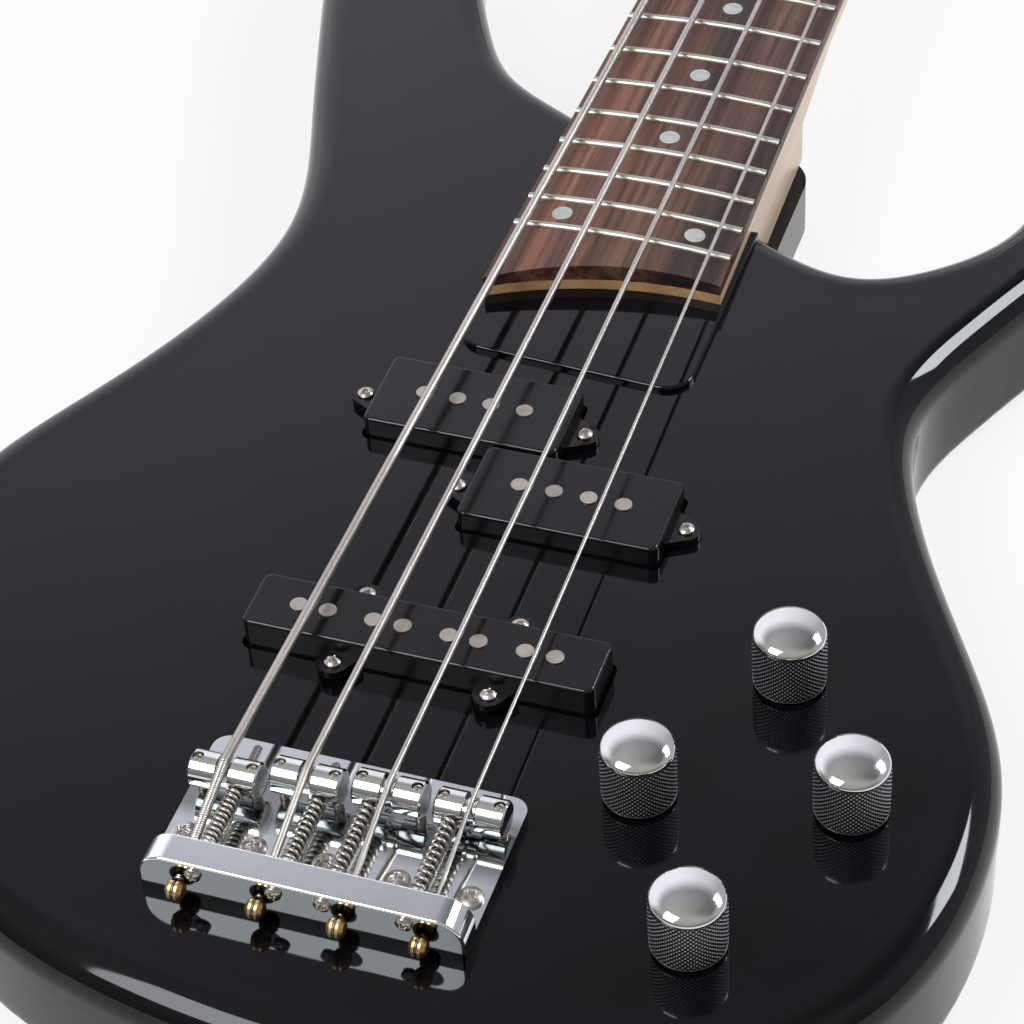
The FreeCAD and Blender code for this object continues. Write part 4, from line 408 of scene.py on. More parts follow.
# %% Outline of the body
body_half_width = 152 * mm
body_reach = 430 * mm
body_rounding = 10 * mm
body_top = 40 * mm
outline_points = 1200
body_shares = np.array([
    (-0.233, 0.662), (-0.407, 0.700), (-0.523, 0.760), (-0.638, 0.856), (-0.704, 0.935),
    (-0.770, 0.981), (-0.868, 0.999), (-0.967, 0.981), (-1.000, 0.928), (-0.980, 0.860),
    (-0.908, 0.766), (-0.777, 0.624), (-0.688, 0.488), (-0.730, 0.405), (-0.862, 0.297),
    (-0.984, 0.200), (-0.987, 0.088), (-0.862, -0.023), (-0.684, -0.093), (-0.507, -0.136),
    (-0.263, -0.165), (0.033, -0.179), (0.395, -0.170), (0.724, -0.121), (0.921, -0.042),
    (0.989, 0.058), (0.957, 0.147), (0.851, 0.226), (0.685, 0.342), (0.640, 0.419),
    (0.711, 0.498), (0.849, 0.591), (0.964, 0.652), (0.993, 0.708), (0.905, 0.741),
    (0.770, 0.723), (0.692, 0.624), (0.559, 0.562), (0.429, 0.541), (0.305, 0.551),
    (0.233, 0.564), (0.000, 0.612)])


def closed_curve(points, count):
    """A cubic curve through a closed row of points, with the chord lengths as its parameter. The bends
    at all points are solved together, so slope and bend carry on without a step all the way round."""
    chord = np.linalg.norm(np.roll(points, -1, axis=0) - points, axis=1)
    before = np.roll(chord, 1)
    identity = np.eye(len(points))
    system = (2 * np.diag(before + chord) + before[:, None] * np.roll(identity, -1, axis=1)
              + chord[:, None] * np.roll(identity, 1, axis=1))
    slope = (np.roll(points, -1, axis=0) - points) / chord[:, None]
    bends = np.linalg.solve(system, 6 * (slope - np.roll(slope, 1, axis=0)))
    ends = np.cumsum(chord)
    at = np.arange(count) / count * ends[-1]
    piece = np.searchsorted(ends, at, side="right")
    following = (piece + 1) % len(points)
    span = chord[piece][:, None]
    early = (ends[piece] - at)[:, None] / span
    late = 1 - early
    straight = early * points[piece] + late * points[following]
    curved = (early ** 3 - early) * bends[piece] + (late ** 3 - late) * bends[following]
    return straight + curved * span ** 2 / 6


outline = closed_curve(body_shares * np.array([body_half_width, body_reach]), outline_points)
print("outline from", np.round(outline.min(axis=0), 4), "to", np.round(outline.max(axis=0), 4))

# %% Coat over the rounded edge
coat_rows = 29
least_lift = 0.008 * mm
coat_skin = 0.30 * mm
upper_rim_insets = np.array([9, 8, 4]) * mm
upper_rim_heights = np.array([-0.012, -0.009, 0.004]) * mm
side_drops = np.array([1.5, 3.5, 5.25, 5.3]) * mm
lip_inset = 3.0 * mm
core_drop = 3 * mm


def edge_coat(outline, top, rounding):
    """A closed profile carried along the outline. Its outside is a quarter round: at an angle s from the
    top, a point lies rounding x (1 - sin s) inside the outline and rounding x (1 - cos s) below the top,
    lifted by a skin that grows with sin s. The upper rim dives under the body's own surface and the lower
    one ends in a thin lip that faces down."""
    way = unit(np.roll(outline, -1, axis=0) - np.roll(outline, 1, axis=0))
    outward = np.stack([way[:, 1], -way[:, 0]], axis=-1)
    swing = np.linspace(0, turn / 4, coat_rows)
    lift = least_lift + (coat_skin - least_lift) * np.sin(swing)
    inset = np.concatenate([
        rounding + upper_rim_insets, rounding - (rounding + lift) * np.sin(swing),
        np.full_like(side_drops, -coat_skin), [lip_inset, rounding + upper_rim_insets[0]]])
    height = np.concatenate([
        top + upper_rim_heights, top - rounding + (rounding + lift) * np.cos(swing),
        top - rounding - side_drops, [top - rounding - side_drops[-1], top - core_drop]])
    flat = outline[:, None] - inset[None, :, None] * outward[:, None]
    return np.concatenate([flat, np.broadcast_to(height[None, :, None], (*flat.shape[:2], 1))], axis=-1)


coat = ring_piece("lacquered_edge", edge_coat(outline, body_top, body_rounding), lacquer, endless=True)
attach(coat, "bass")
print("coat faces:", len(coat.data.polygons))

# %% [markdown]
# ## Rosewood
# The fingerboard is oiled rosewood: reddish brown with dark streaks that run along the neck and open
# pores like short scratches. Stretching a noise along Y draws lines: broad bands for the figure, thin
# streaks across them, and the finest for the pores, which are also cut into the surface by a bump. The
# board turns darker and cooler towards the thin strings.

# %% Rosewood
board_tone_reach = 28 * mm
rosewood, shader = new_finish("rosewood_finish")
bands = noise(rosewood, 95, (1, 0.07, 1))
streaks = noise(rosewood, 520, (1, 0.022, 1))
pores = noise(rosewood, 2400, (1, 0.05, 1), detail=1)
figure = ramp(rosewood, bands, [
    (0.34, (0.050, 0.020, 0.015)), (0.47, (0.120, 0.050, 0.036)),
    (0.56, (0.205, 0.086, 0.057)), (0.68, (0.285, 0.128, 0.086))])
across_board = axes(rosewood, own_space(rosewood))["X"]
darker_across_board = ramp(rosewood, spread(rosewood, across_board, 0, 1, -board_tone_reach, board_tone_reach), [
    (0.08, (0.98, 0.94, 0.93)), (0.50, (0.62, 0.66, 0.71)), (0.90, (0.58, 0.66, 0.73))])
dark_lines = ramp(rosewood, streaks, [
    (0.34, (0.30, 0.28, 0.27)), (0.50, (0.95, 0.94, 0.93)), (0.68, (1.3, 1.28, 1.25))])
pore_lines = ramp(rosewood, pores, [(0.34, (0.45, 0.45, 0.45)), (0.42, (1, 1, 1))])
wood = mix(rosewood, 1.0, figure, darker_across_board, "MULTIPLY")
streaked = mix(rosewood, 0.85, wood, dark_lines, "MULTIPLY")
wire(rosewood, shader, {
    "Base Color": mix(rosewood, 0.6, streaked, pore_lines, "MULTIPLY"),
    "Roughness": spread(rosewood, streaks, 0.52, 0.38),
    "Normal": bump(rosewood, pores, 0.35, 0.08 * mm),
})
dress(rosewood, "fretboard")
print("rosewood on the fingerboard")

# %% [markdown]
# ## Maple
# The neck is pale maple under a thin satin lacquer. Its grain is fine and low in contrast, with a
# broader shimmer across it. Two stretched noises close in colour give both. The cut end drinks more
# lacquer, so its end grain is a darker tan.

# %% Maple
neck_end = 206 * mm
end_fade = 1 * mm
maple, shader = new_finish("maple_finish")
grain = noise(maple, 420, (1, 0.04, 1), detail=4)
shimmer = noise(maple, 60, (1, 0.5, 1), detail=2)
pale = ramp(maple, grain, [
    (0.32, (0.70, 0.52, 0.37)), (0.55, (0.79, 0.61, 0.46)), (0.72, (0.85, 0.69, 0.54))])
shade = ramp(maple, shimmer, [(0.3, (0.90, 0.88, 0.86)), (0.7, (1, 1, 1))])
end_grain = ramp(maple, noise(maple, 1500, detail=2), [
    (0.3, (0.62, 0.345, 0.160)), (0.7, (0.76, 0.460, 0.235))])
near_end = spread(maple, axes(maple, own_space(maple))["Y"], 1, 0, neck_end, neck_end + end_fade)
facing_tail = spread(maple, axes(maple, own_space(maple, "Normal"))["Y"], 1, 0, -0.8, -0.6)
on_end = combine(maple, "MULTIPLY", near_end, facing_tail)
wire(maple, shader, {
    "Base Color": mix(maple, on_end, mix(maple, 0.8, pale, shade, "MULTIPLY"), end_grain),
    "Roughness": spread(maple, shimmer, 0.30, 0.42),
    "Normal": bump(maple, grain, 0.08, 0.04 * mm),
    "Coat Weight": 0.25,
    "Coat Roughness": 0.2,
})
dress(maple, "neck")
print("maple on the neck")

# %% [markdown]
# ## Metals
# Chrome plate, nickel and steel differ in tint and in how sharp their reflections are. Each is fully
# metallic; a soft noise in the roughness stands for fingerprints and polishing, and a fine stretched
# one for turning marks.

# %% Chrome, nickel, fret wire, steel and brass
def metal(name, low, high, roughness, mottle=70):
    """A metal whose tint and roughness drift a little over the piece, with faint turning marks."""
    return finish(name, dict(scale=mottle), low, high, roughness,
                  dict(scale=900, stretch=(1, 0.3, 1), detail=2), (0.04, 0.02 * mm), Metallic=1.0)


chrome = metal("chrome_finish", (0.67, 0.685, 0.67), (0.73, 0.745, 0.73), (0.05, 0.11))
bridge_chrome = metal("bridge_chrome_finish", (0.785, 0.825, 0.83), (0.835, 0.875, 0.88), (0.05, 0.11))
nickel = metal("nickel_finish", (0.45, 0.41, 0.38), (0.57, 0.53, 0.49), (0.24, 0.34))
spring_steel = metal("spring_finish", (0.36, 0.335, 0.30), (0.46, 0.43, 0.385), (0.26, 0.36))
# Painted shade: the threads inside the springs and the loops round the balls are real steel, darkened to
# stand for the shade around them.
shade_dark_steel = metal("thread_and_loop_shade_finish", (0.17, 0.16, 0.148), (0.24, 0.227, 0.21), (0.26, 0.36))
satin_nickel = metal("satin_nickel_finish", (0.47, 0.43, 0.365), (0.59, 0.55, 0.475), (0.30, 0.44), 420)
fret_silver = metal("fret_finish", (0.50, 0.48, 0.42), (0.60, 0.58, 0.51), (0.36, 0.46))
brass = metal("brass_finish", (0.55, 0.36, 0.15), (0.70, 0.48, 0.22), (0.32, 0.44))
dress(bridge_chrome, "bridge_plate")
dress(chrome, "tuner_housings", "tuner_bushings", "strap_buttons", "neck_ferrules")
for name in string_names:
    dress(chrome, f"saddle_{name}", f"tuner_{name}_key", f"tuner_{name}_post")
dress(nickel, "small_screws", "strap_screws", "neck_bolts", "truss_rod", "panel_nuts", "jack_socket",
      "control_pots", *[f"pot_shaft_{kind}" for kind in knob_kinds])
dress(satin_nickel, "pole_pieces")
dress(fret_silver, "frets")
dress(brass, "ball_ends")
print("metals set")

# %% [markdown]
# ## Plastic, bone, pearl and winding wire
# The pickup covers are black moulded plastic with a satin top. The dots are pearloid, the nut is
# bone, and the coils inside the covers are red-brown enamelled wire. They are small, so a noise at
# the scale of the material is enough.

# %% Plastics and small materials
plastic = finish(
    "black_plastic_finish", dict(scale=55), (0.0048, 0.0048, 0.0062), (0.0072, 0.0072, 0.0090),
    (0.15, 0.22), dict(scale=5200, detail=2), (0.12, 0.03 * mm), Specular_IOR_Level=0.36)
pearl = finish("pearl_finish", dict(scale=420, detail=4), (0.46, 0.49, 0.48), (0.55, 0.58, 0.57),
               (0.24, 0.36))
bone = finish("bone_finish", dict(scale=900, stretch=(0.2, 1, 1)), (0.72, 0.66, 0.52), (0.82, 0.78, 0.66),
              (0.3, 0.42))
windings = dict(scale=3000, stretch=(0.1, 0.1, 1), detail=2)
enamel = finish("coil_wire_finish", windings, (0.16, 0.035, 0.012), (0.36, 0.10, 0.04), (0.25, 0.4),
                windings, (0.3, 0.05 * mm), Metallic=0.6)
dress(plastic, "bridge_pickup_cover", "split_pickup_covers", "control_cover", "truss_rod_cover")
dress(pearl, "position_dots")
dress(bone, "nut")
dress(enamel, "pickup_coils")
print("plastics and small materials set")

# %% [markdown]
# ## Knobs
# Each knob is turned brass, chromed, with a domed cap and a diamond knurl rolled into its side so that
# a finger can grip it. A bump map would leave the outline smooth, so the knurl is real: two families
# of slanted grooves cut the side into small pyramids. How far each point stands proud is kept on the
# mesh, and the finish reads it to paint shade into the grooves and a highlight onto each pyramid's tip.

# %% Knurled knob
knob_starts = 44
knob_columns = knob_starts * 8
knurl_rows = 86
knurl_from_foot = 0.5 * mm
knurl_from_top = 0.7 * mm
knurl_fade = 0.4 * mm
knurl_depth = 0.36 * mm
tip_share = 0.9
dome_rows = 30
dome_height = 3.3 * mm
dome_sweep_share = 0.985
rim_share = 0.985
rim_drops = (0.45 * mm, 0.1 * mm)
foot_share = 0.955
foot_edge = 0.25 * mm
hollow_share = 0.80
hollow_height = 3.4 * mm
hollow_middle = 0.4 * mm


def sawtooth(share):
    """1 on whole numbers, 0 half-way between them, straight in between."""
    return np.abs(2 * (share - np.floor(share)) - 1)


def knob_rings(low, radius, side):
    """Profile from the hollow underside, up the knurled side and over the dome, a quarter ellipse.
    On the side, radius = full radius less groove depth times (1 - the smaller of two slanted sawtooths).
    The second result rises from 0 in a groove to the tip share on a pyramid's tip, and is 1 elsewhere."""
    rim = radius * rim_share
    under = np.array([
        (hollow_middle, hollow_height), (radius * hollow_share, hollow_height), (radius * hollow_share, 0),
        (radius * foot_share, 0), (rim, foot_edge)])
    heights = np.linspace(knurl_from_foot, side - knurl_from_top, knurl_rows)
    neck = np.array([(rim, side - drop) for drop in rim_drops])
    rise = np.linspace(0, dome_sweep_share, dome_rows) * turn / 4
    cap = np.stack([rim * np.cos(rise), side + dome_height * np.sin(rise)], axis=-1)
    profile = np.concatenate([under, np.stack([np.full_like(heights, radius), heights], axis=-1), neck, cap])
    rings = turned_rings(profile, knob_columns)
    around = np.arange(knob_columns) / knob_columns * knob_starts
    up = heights[:, None] / (turn * radius / knob_starts)
    pyramids = np.minimum(sawtooth(around + up), sawtooth(around - up))
    from_ends = np.minimum(heights - heights[0], heights[-1] - heights)
    fade = np.clip(from_ends / knurl_fade, 0, 1)[:, None]
    cut = 1 - knurl_depth / radius * (1 - pyramids * fade)
    rows = slice(len(under), len(under) + len(heights))
    rings[rows, :, :2] *= cut[..., None]
    rings[..., 2] += low
    proud = np.ones(rings.shape[:2])
    proud[rows] = pyramids * tip_share
    return rings, np.append(proud.ravel(), (1, 1))


# Painted light: the colour is near black deep in the grooves for shade and near white on the pyramids' tips
# for a highlight.
knurled, shader = new_finish("knurled_chrome_painted_light_finish")
proud_share = add(knurled, "ShaderNodeAttribute", attribute_name="knurl_height").outputs["Fac"]
polish = spread(knurled, noise(knurled, 70), 0.05, 0.11)
rolled = spread(knurled, proud_share, 0.38, 0, tip_share, tip_share + 0.06)
wire(knurled, shader, {
    "Base Color": ramp(knurled, proud_share, [
        (0.0, (0.020, 0.020, 0.023)), (0.38, (0.10, 0.10, 0.107)), (0.62, (0.62, 0.63, 0.65)),
        (tip_share, (0.95, 0.96, 0.98)), (0.95, (0.70, 0.715, 0.70))]),
    "Metallic": 1.0,
    "Roughness": combine(knurled, "ADD", polish, rolled),
})

for kind in knob_kinds:
    low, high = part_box(f"knob_{kind}")
    radius = (high.x - low.x) / 2
    rings, proud = knob_rings(low.z, radius, high.z - low.z - dome_height)
    rings[..., 0] += (low.x + high.x) / 2
    rings[..., 1] += (low.y + high.y) / 2
    knob = ring_piece(f"knurled_knob_{kind}", rings, knurled)
    knob.data.attributes.new("knurl_height", "FLOAT", "POINT").data.foreach_set("value", proud)
    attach(knob, f"{kind}_control")
    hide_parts(f"knob_{kind}")
print("knob radius in mm:", round(radius / mm, 2), "triangles each:", 2 * knob_columns * (len(rings) - 1))

# %% [markdown]
# ## Screws
# The screws that show are pan heads with a cross recess, and small set screws with a hexagon socket.
# A head is turned like the knob; the recess is pressed into the crown as a dip in height wherever a
# point lies inside the cross.

# %% Screws with cross recesses
head_columns = 48
head_edge_share = 0.45
crown_shares = np.linspace(1, 0.03, 18)
cross_reach_share = 0.58
cross_width_share = 0.15
cross_wall_share = 0.06
cross_depth_share = 0.55


def pan_head(shank_radius, shank_length, head_radius, head_height, cross_turn):
    """A pan head on the Z axis with its seat at zero: shank, flat seat, straight edge, low dome.
    The dome loses depth inside two crossed bars, with sloping walls."""
    edge = head_height * head_edge_share
    stem = [(shank_radius * 0.3, -shank_length), (shank_radius, -shank_length + shank_radius),
            (shank_radius, 0), (head_radius * 0.97, 0), (head_radius, head_height * 0.08),
            (head_radius, edge * 0.8)]
    crown_heights = edge + (head_height - edge) * (1 - crown_shares ** 2)
    crown = np.stack([head_radius * crown_shares * 0.99, crown_heights], axis=-1)
    rings = turned_rings(np.concatenate([stem, crown]), head_columns)
    angle = np.arange(head_columns) / head_columns * turn + cross_turn
    along = np.abs(crown_shares[:, None] * np.cos(angle))
    across = np.abs(crown_shares[:, None] * np.sin(angle))

    def bar(run, rise):
        """1 inside a bar of the cross and 0 outside it, with a slope at its wall."""
        return (np.clip((cross_reach_share - run) / cross_wall_share, 0, 1)
                * np.clip((cross_width_share - rise) / cross_wall_share, 0, 1))

    dip = np.maximum(bar(along, across), bar(across, along))
    rings[len(stem):, :, 2] -= head_height * cross_depth_share * dip
    return rings


def screws(name, places, shape, node):
    """One nickel piece of several like screws: the rings of each, moved to its place."""
    rings = np.stack([shape(number) + np.array(place) for number, place in enumerate(places)])
    piece = ring_piece(name, rings, nickel)
    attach(piece, "bass")
    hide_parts(node)


split_seat = 42.6 * mm
split_screw_reach = 32 * mm
split_centres = ((-18.9 * mm, 139.3 * mm), (18.35 * mm, 110.8 * mm))
bar_seat = 44.2 * mm
bar_centre = (-1 * mm, 51 * mm)
bar_reach = (21 * mm, 12.6 * mm)
pickup_places = [(x + side * split_screw_reach, y, split_seat) for x, y in split_centres for side in (-1, 1)]
pickup_places += [(bar_centre[0] + side * bar_reach[0], bar_centre[1] + end * bar_reach[1], bar_seat)
                  for side in (-1, 1) for end in (-1, 1)]
pickup_shank = split_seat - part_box("pickup_screws")[0].z
screws("pickup_cross_screws", pickup_places,
       lambda number: pan_head(1.4 * mm, pickup_shank, 2.3 * mm, 1.5 * mm, 0.4 + 0.7 * number),
       "pickup_screws")
plate_top = 43.1 * mm
bridge_screw_y = -24.5 * mm
bridge_screw_step = 18.5 * mm
bridge_places = [(number * bridge_screw_step, bridge_screw_y, plate_top) for number in range(-2, 3)]
bridge_shank = plate_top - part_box("bridge_screws")[0].z
screws("bridge_cross_screws", bridge_places,
       lambda number: pan_head(1.6 * mm, bridge_shank, 3.3 * mm, 1.6 * mm, 0.2 + 0.9 * number),
       "bridge_screws")
print("pickup screws:", len(pickup_places), "bridge screws:", len(bridge_places))

# %% [markdown]
# ## Intonation screws, springs and saddle height screws
# Behind each saddle a long screw passes through the bar and a spring, and draws the saddle to and
# fro. The screw is a pan head with a rolled thread, a ridge that climbs one pitch for each turn. The
# spring is a wire on a helix. It is squeezed when the saddle moves, so it blends between the bar and
# the saddle instead of riding on one of them.

# %% Threaded intonation screws
screw_z = 49.7 * mm
screw_aside = 4.1 * mm
bar_back = -41.0 * mm
bar_front = -32.5 * mm
thread_radius = 1.15 * mm
thread_length = 34.0 * mm
thread_pitch = 0.7 * mm
thread_depth = 0.16 * mm
thread_columns = 16
thread_rows_per_turn = 6
tip_length = 1.2 * mm
screw_x = {name: place[0] - math.copysign(screw_aside, place[0]) for name, place in saddles.items()}
print("long screws at", {name: round(x / mm, 2) for name, x in screw_x.items()})


def threaded_rings():
    """Rings of a thread along Z: radius less depth times a sawtooth of height over pitch less the angle."""
    height = np.linspace(0, thread_length, int(thread_length / thread_pitch * thread_rows_per_turn))[:, None]
    ridge = sawtooth(height / thread_pitch - np.arange(thread_columns) / thread_columns)
    taper = np.clip(0.6 + (thread_length - height) / tip_length, 0, 1)
    return round_rings((thread_radius - thread_depth * (1 - ridge)) * taper, height)


def lay_along_y(rings):
    """Turns a piece on the Z axis so that its Z points along Y, with no mirroring."""
    return np.stack([rings[..., 0], rings[..., 2], -rings[..., 1]], axis=-1)


def intonation_head(number):
    """A pan head behind the bar, whose shank goes forward through it."""
    head = pan_head(1.1 * mm, 8.4 * mm, 2.1 * mm, 1.5 * mm, 0.3 + 0.8 * number)
    return lay_along_y(head * np.array([1, -1, -1]))


head_places = [(x, bar_back, screw_z) for x in screw_x.values()]
screws("intonation_heads", head_places, intonation_head, "intonation_screws")
thread = lay_along_y(threaded_rings())
# The threads are real; their dark steel is painted shade inside the springs.
threads = ring_piece("intonation_threads", np.stack([
    thread + np.array([x, bar_front, screw_z]) for x in screw_x.values()]), shade_dark_steel)
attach(threads, "bass")
print("thread rows:", thread.shape[0])

# %% Springs behind the saddles
spring_wire = 0.52 * mm
spring_curls = 12
curl_points = 22
spring_columns = 10
closed_curls = 0.6


def spring_path(start, end, radius):
    """A helix about Y: evenly spaced curls, with the first and last half curl closed up flat."""
    share = np.linspace(0, 1, spring_curls * curl_points)
    angle = share * spring_curls * turn
    even = np.clip((share * spring_curls - closed_curls) / (spring_curls - 2 * closed_curls), 0, 1)
    return np.stack([radius * np.cos(angle), start + (end - start) * even, radius * np.sin(angle)], axis=-1)


for name, x in screw_x.items():
    low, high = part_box(f"saddle_{name}_spring")
    path = spring_path(low.y + spring_wire, high.y - spring_wire, (high.x - low.x) / 2 - spring_wire)
    rings = tube_rings(path + np.array([x, 0, screw_z]), spring_wire, spring_columns, (0, 1, 0))
    spring = ring_piece(f"wound_spring_{name}", rings, spring_steel)
    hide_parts(f"saddle_{name}_spring")
    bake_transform(spring)
print("spring rows:", len(path))

# %% Set screws that carry the saddles
set_screw_pitch = 0.5 * mm
set_screw_depth = 0.14 * mm
set_screw_columns = 24
set_screw_rows_per_turn = 5
set_screw_bevel = 0.3 * mm
socket_drops = np.array([0, 0, 0.12, 1.3])[:, None] * mm


def socket_screw(radius, low, high):
    """A threaded rod with a flat top and a hexagon socket. The thread is a sawtooth of height over pitch
    less the angle; the socket's ring lies at half its width over the cosine of the angle to a side."""
    rows = int((high - low) / set_screw_pitch * set_screw_rows_per_turn)
    height = np.linspace(low, high - set_screw_bevel, rows)[:, None]
    share = np.arange(set_screw_columns) / set_screw_columns
    wide = radius - set_screw_depth * (1 - sawtooth(height / set_screw_pitch - share))
    hexagon = 0.5 * radius / np.cos(np.mod(share * turn, turn / 6) - turn / 12)
    top = np.stack([np.full_like(hexagon, radius * 0.8), hexagon * 1.06, hexagon, hexagon * 0.98])
    return round_rings(np.concatenate([wide, top]), np.concatenate([height, high - socket_drops]))


for name, place in saddles.items():
    low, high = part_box(f"saddle_{name}_height_screws")
    rod_radius = (high.y - low.y) / 2
    rod = socket_screw(rod_radius, low.z, high.z)
    feet = ring_piece(f"saddle_{name}_set_screws", np.stack([
        rod + np.array([x, place[1], 0]) for x in (low.x + rod_radius, high.x - rod_radius)]), spring_steel)
    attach(feet, f"bridge_saddle_{name}")
    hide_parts(f"saddle_{name}_height_screws")
print("set screw radius in mm:", round(rod_radius / mm, 2), "top at", round(high.z / mm, 2))

# %% [markdown]
# ## Strings
# A bass string is a steel core wound with round wire, so it is ribbed, and the ribs are what the eye
# catches near the bridge. Each string runs from its brass ball over the saddle and the nut to the
# post, where it is wound down. It is made in two lengths that meet on the saddle's crown, because the
# saddle slides: each length blends between the saddle and the parts that stay still. The ribs are
# real where the photograph shows them close up; further along, the same ribs are a bump.

# %% Route of a string
scale_length = 863.6 * mm
last_fret = scale_length / 4
board_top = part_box("fretboard")[1].z
board_radius = 305 * mm
fret_height = 1.1 * mm
nut_action = 0.3 * mm
nut_reach = 5.9 * mm
nut_bend = 9.0 * mm
saddle_groove_bend = 3.6 * mm
spacing_at_bridge = 20.5 * mm
spacing_at_nut = 12.0 * mm
ball_y = -43.75 * mm
ball_z = 46.0 * mm
ball_shift = 0.3 * mm
ball_bore = 0.8 * mm
post_radius = 4.35 * mm
wrap_top = 48.1 * mm
wrap_gap = 0.7 * mm
wrap_turns = 2
wrap_points = 40
level_turn_share = 0.12
corner_points = 14
string_radius = {"e": 1.335 * mm, "a": 1.08 * mm, "d": 0.825 * mm, "g": 0.57 * mm}
string_action = {"e": 3.0 * mm, "a": 2.8 * mm, "d": 2.6 * mm, "g": 2.4 * mm}
string_setback = {"e": 9.9 * mm, "a": 7.2 * mm, "d": 5.1 * mm, "g": 4.0 * mm}
string_share = {"e": -1.5, "a": -0.5, "d": 0.5, "g": 1.5}
post_place = {name: joint["pos_m"] for name in string_names for joint in frame["joints"]
              if joint["name"] == f"post_{name}_turn"}
print("posts:", post_place)


def run_place(name, y):
    """A point of the straight run: spacing shrinks evenly to the nut, height rises from nut to frets."""
    def across(at):
        spacing = spacing_at_bridge + (spacing_at_nut - spacing_at_bridge) * at / scale_length
        return string_share[name] * spacing

    def over_board(at):
        arch = board_top - board_radius + math.sqrt(board_radius ** 2 - across(at) ** 2)
        return arch + fret_height + string_radius[name]

    at_nut = over_board(scale_length) + nut_action
    at_fret = over_board(last_fret) + string_action[name]
    slope = (at_nut - at_fret) / (scale_length - last_fret)
    return np.array([across(y), y, at_nut + slope * (y - scale_length)])


def rounded_corner(before, corner, after, radius):
    """Points of the arc that touches both runs of a corner: centre less radius times a turning way."""
    into = unit(corner - before)
    out = unit(after - corner)
    half = math.acos(np.clip(into @ out, -1, 1)) / 2
    inward = unit(out - into)
    forward = unit(into + out)
    swing = np.linspace(-half, half, corner_points)[:, None]
    centre = corner + inward * radius / math.cos(half)
    return centre + radius * (np.sin(swing) * forward - np.cos(swing) * inward)


def post_wraps(touch, post, radius, direction, pitch):
    """A helix down the post: the angle grows evenly and the height falls one pitch for each turn."""
    share = np.linspace(0, wrap_turns, wrap_turns * wrap_points)[1:, None]
    angle = math.atan2(touch[1] - post[1], touch[0] - post[0]) + direction * share * turn
    height = touch[2] - pitch * np.maximum(share - level_turn_share, 0)
    around = post + radius * np.concatenate([np.cos(angle), np.sin(angle)], axis=1)
    return np.concatenate([around, height], axis=1)


def string_route(name):
    """The whole centre line: ball, corner on the saddle, corner on the nut, wraps on the post."""
    radius = string_radius[name]
    corner = run_place(name, -string_setback[name])
    ball = np.array([corner[0] + ball_shift, ball_y, ball_z])
    nut_corner = run_place(name, scale_length + nut_reach)
    post = np.array(post_place[name][:2])
    side = -1 if post[0] < 0 else 1
    wrap = post_radius + radius
    to_post = post - nut_corner[:2]
    distance = np.linalg.norm(to_post)
    heading = math.atan2(to_post[1], to_post[0]) + side * math.asin(wrap / distance)
    reach = math.sqrt(distance ** 2 - wrap ** 2)
    touch = np.array([
        nut_corner[0] + reach * math.cos(heading), nut_corner[1] + reach * math.sin(heading), wrap_top])
    on_saddle = rounded_corner(ball, corner, nut_corner, saddle_groove_bend + radius)
    on_nut = rounded_corner(corner, nut_corner, touch, nut_bend)
    wraps = post_wraps(touch, post, wrap, -side, 2 * radius + wrap_gap)
    start = ball + unit(corner - ball) * ball_bore
    return ball, np.concatenate([start[None], on_saddle, on_nut, touch[None], wraps])


balls, routes = {}, {}
for name in string_names:
    balls[name], routes[name] = string_route(name)
print("route points:", {name: len(route) for name, route in routes.items()})

# %% Wound string surface
winding_pitch = {"e": 0.62 * mm, "a": 0.52 * mm, "d": 0.44 * mm, "g": 0.36 * mm}
ribbed_length = 150 * mm
rib_depth_share = 0.22
smooth_drop_share = 0.3
string_columns = 12
rows_per_winding = 5
fading_windings = 4
far_step = 8 * mm
crown_point = 1 + corner_points // 2
nut_point = 2 * corner_points - 1


def rib_clarity(pitch):
    """How clearly the ribs are drawn: fully on the thickest string, and less the finer the winding."""
    return np.interp(pitch / winding_pitch["e"], [0.55, 1], [0.15, 1])


def wound_rings(path, distances, radius, pitch):
    """A ribbed wire: radius less rib depth times (1 - a half circle across each winding), the windings
    climbing one pitch round the wire. Past the ribbed length it is smooth at the mean radius."""
    depth = pitch * rib_depth_share * rib_clarity(pitch)
    share = np.arange(string_columns) / string_columns
    across = 2 * np.mod(distances[:, None] / pitch - share, 1) - 1
    half_round = np.sqrt(np.clip(1 - across ** 2, 0, 1))
    ribs = radius - depth * (1 - half_round)
    ribbed = np.clip((ribbed_length - distances[:, None]) / (fading_windings * pitch), 0, 1)
    wide = ribs * ribbed + (radius - smooth_drop_share * depth) * (1 - ribbed)
    return tube_rings(path, wide, string_columns, (0, 0, 1))


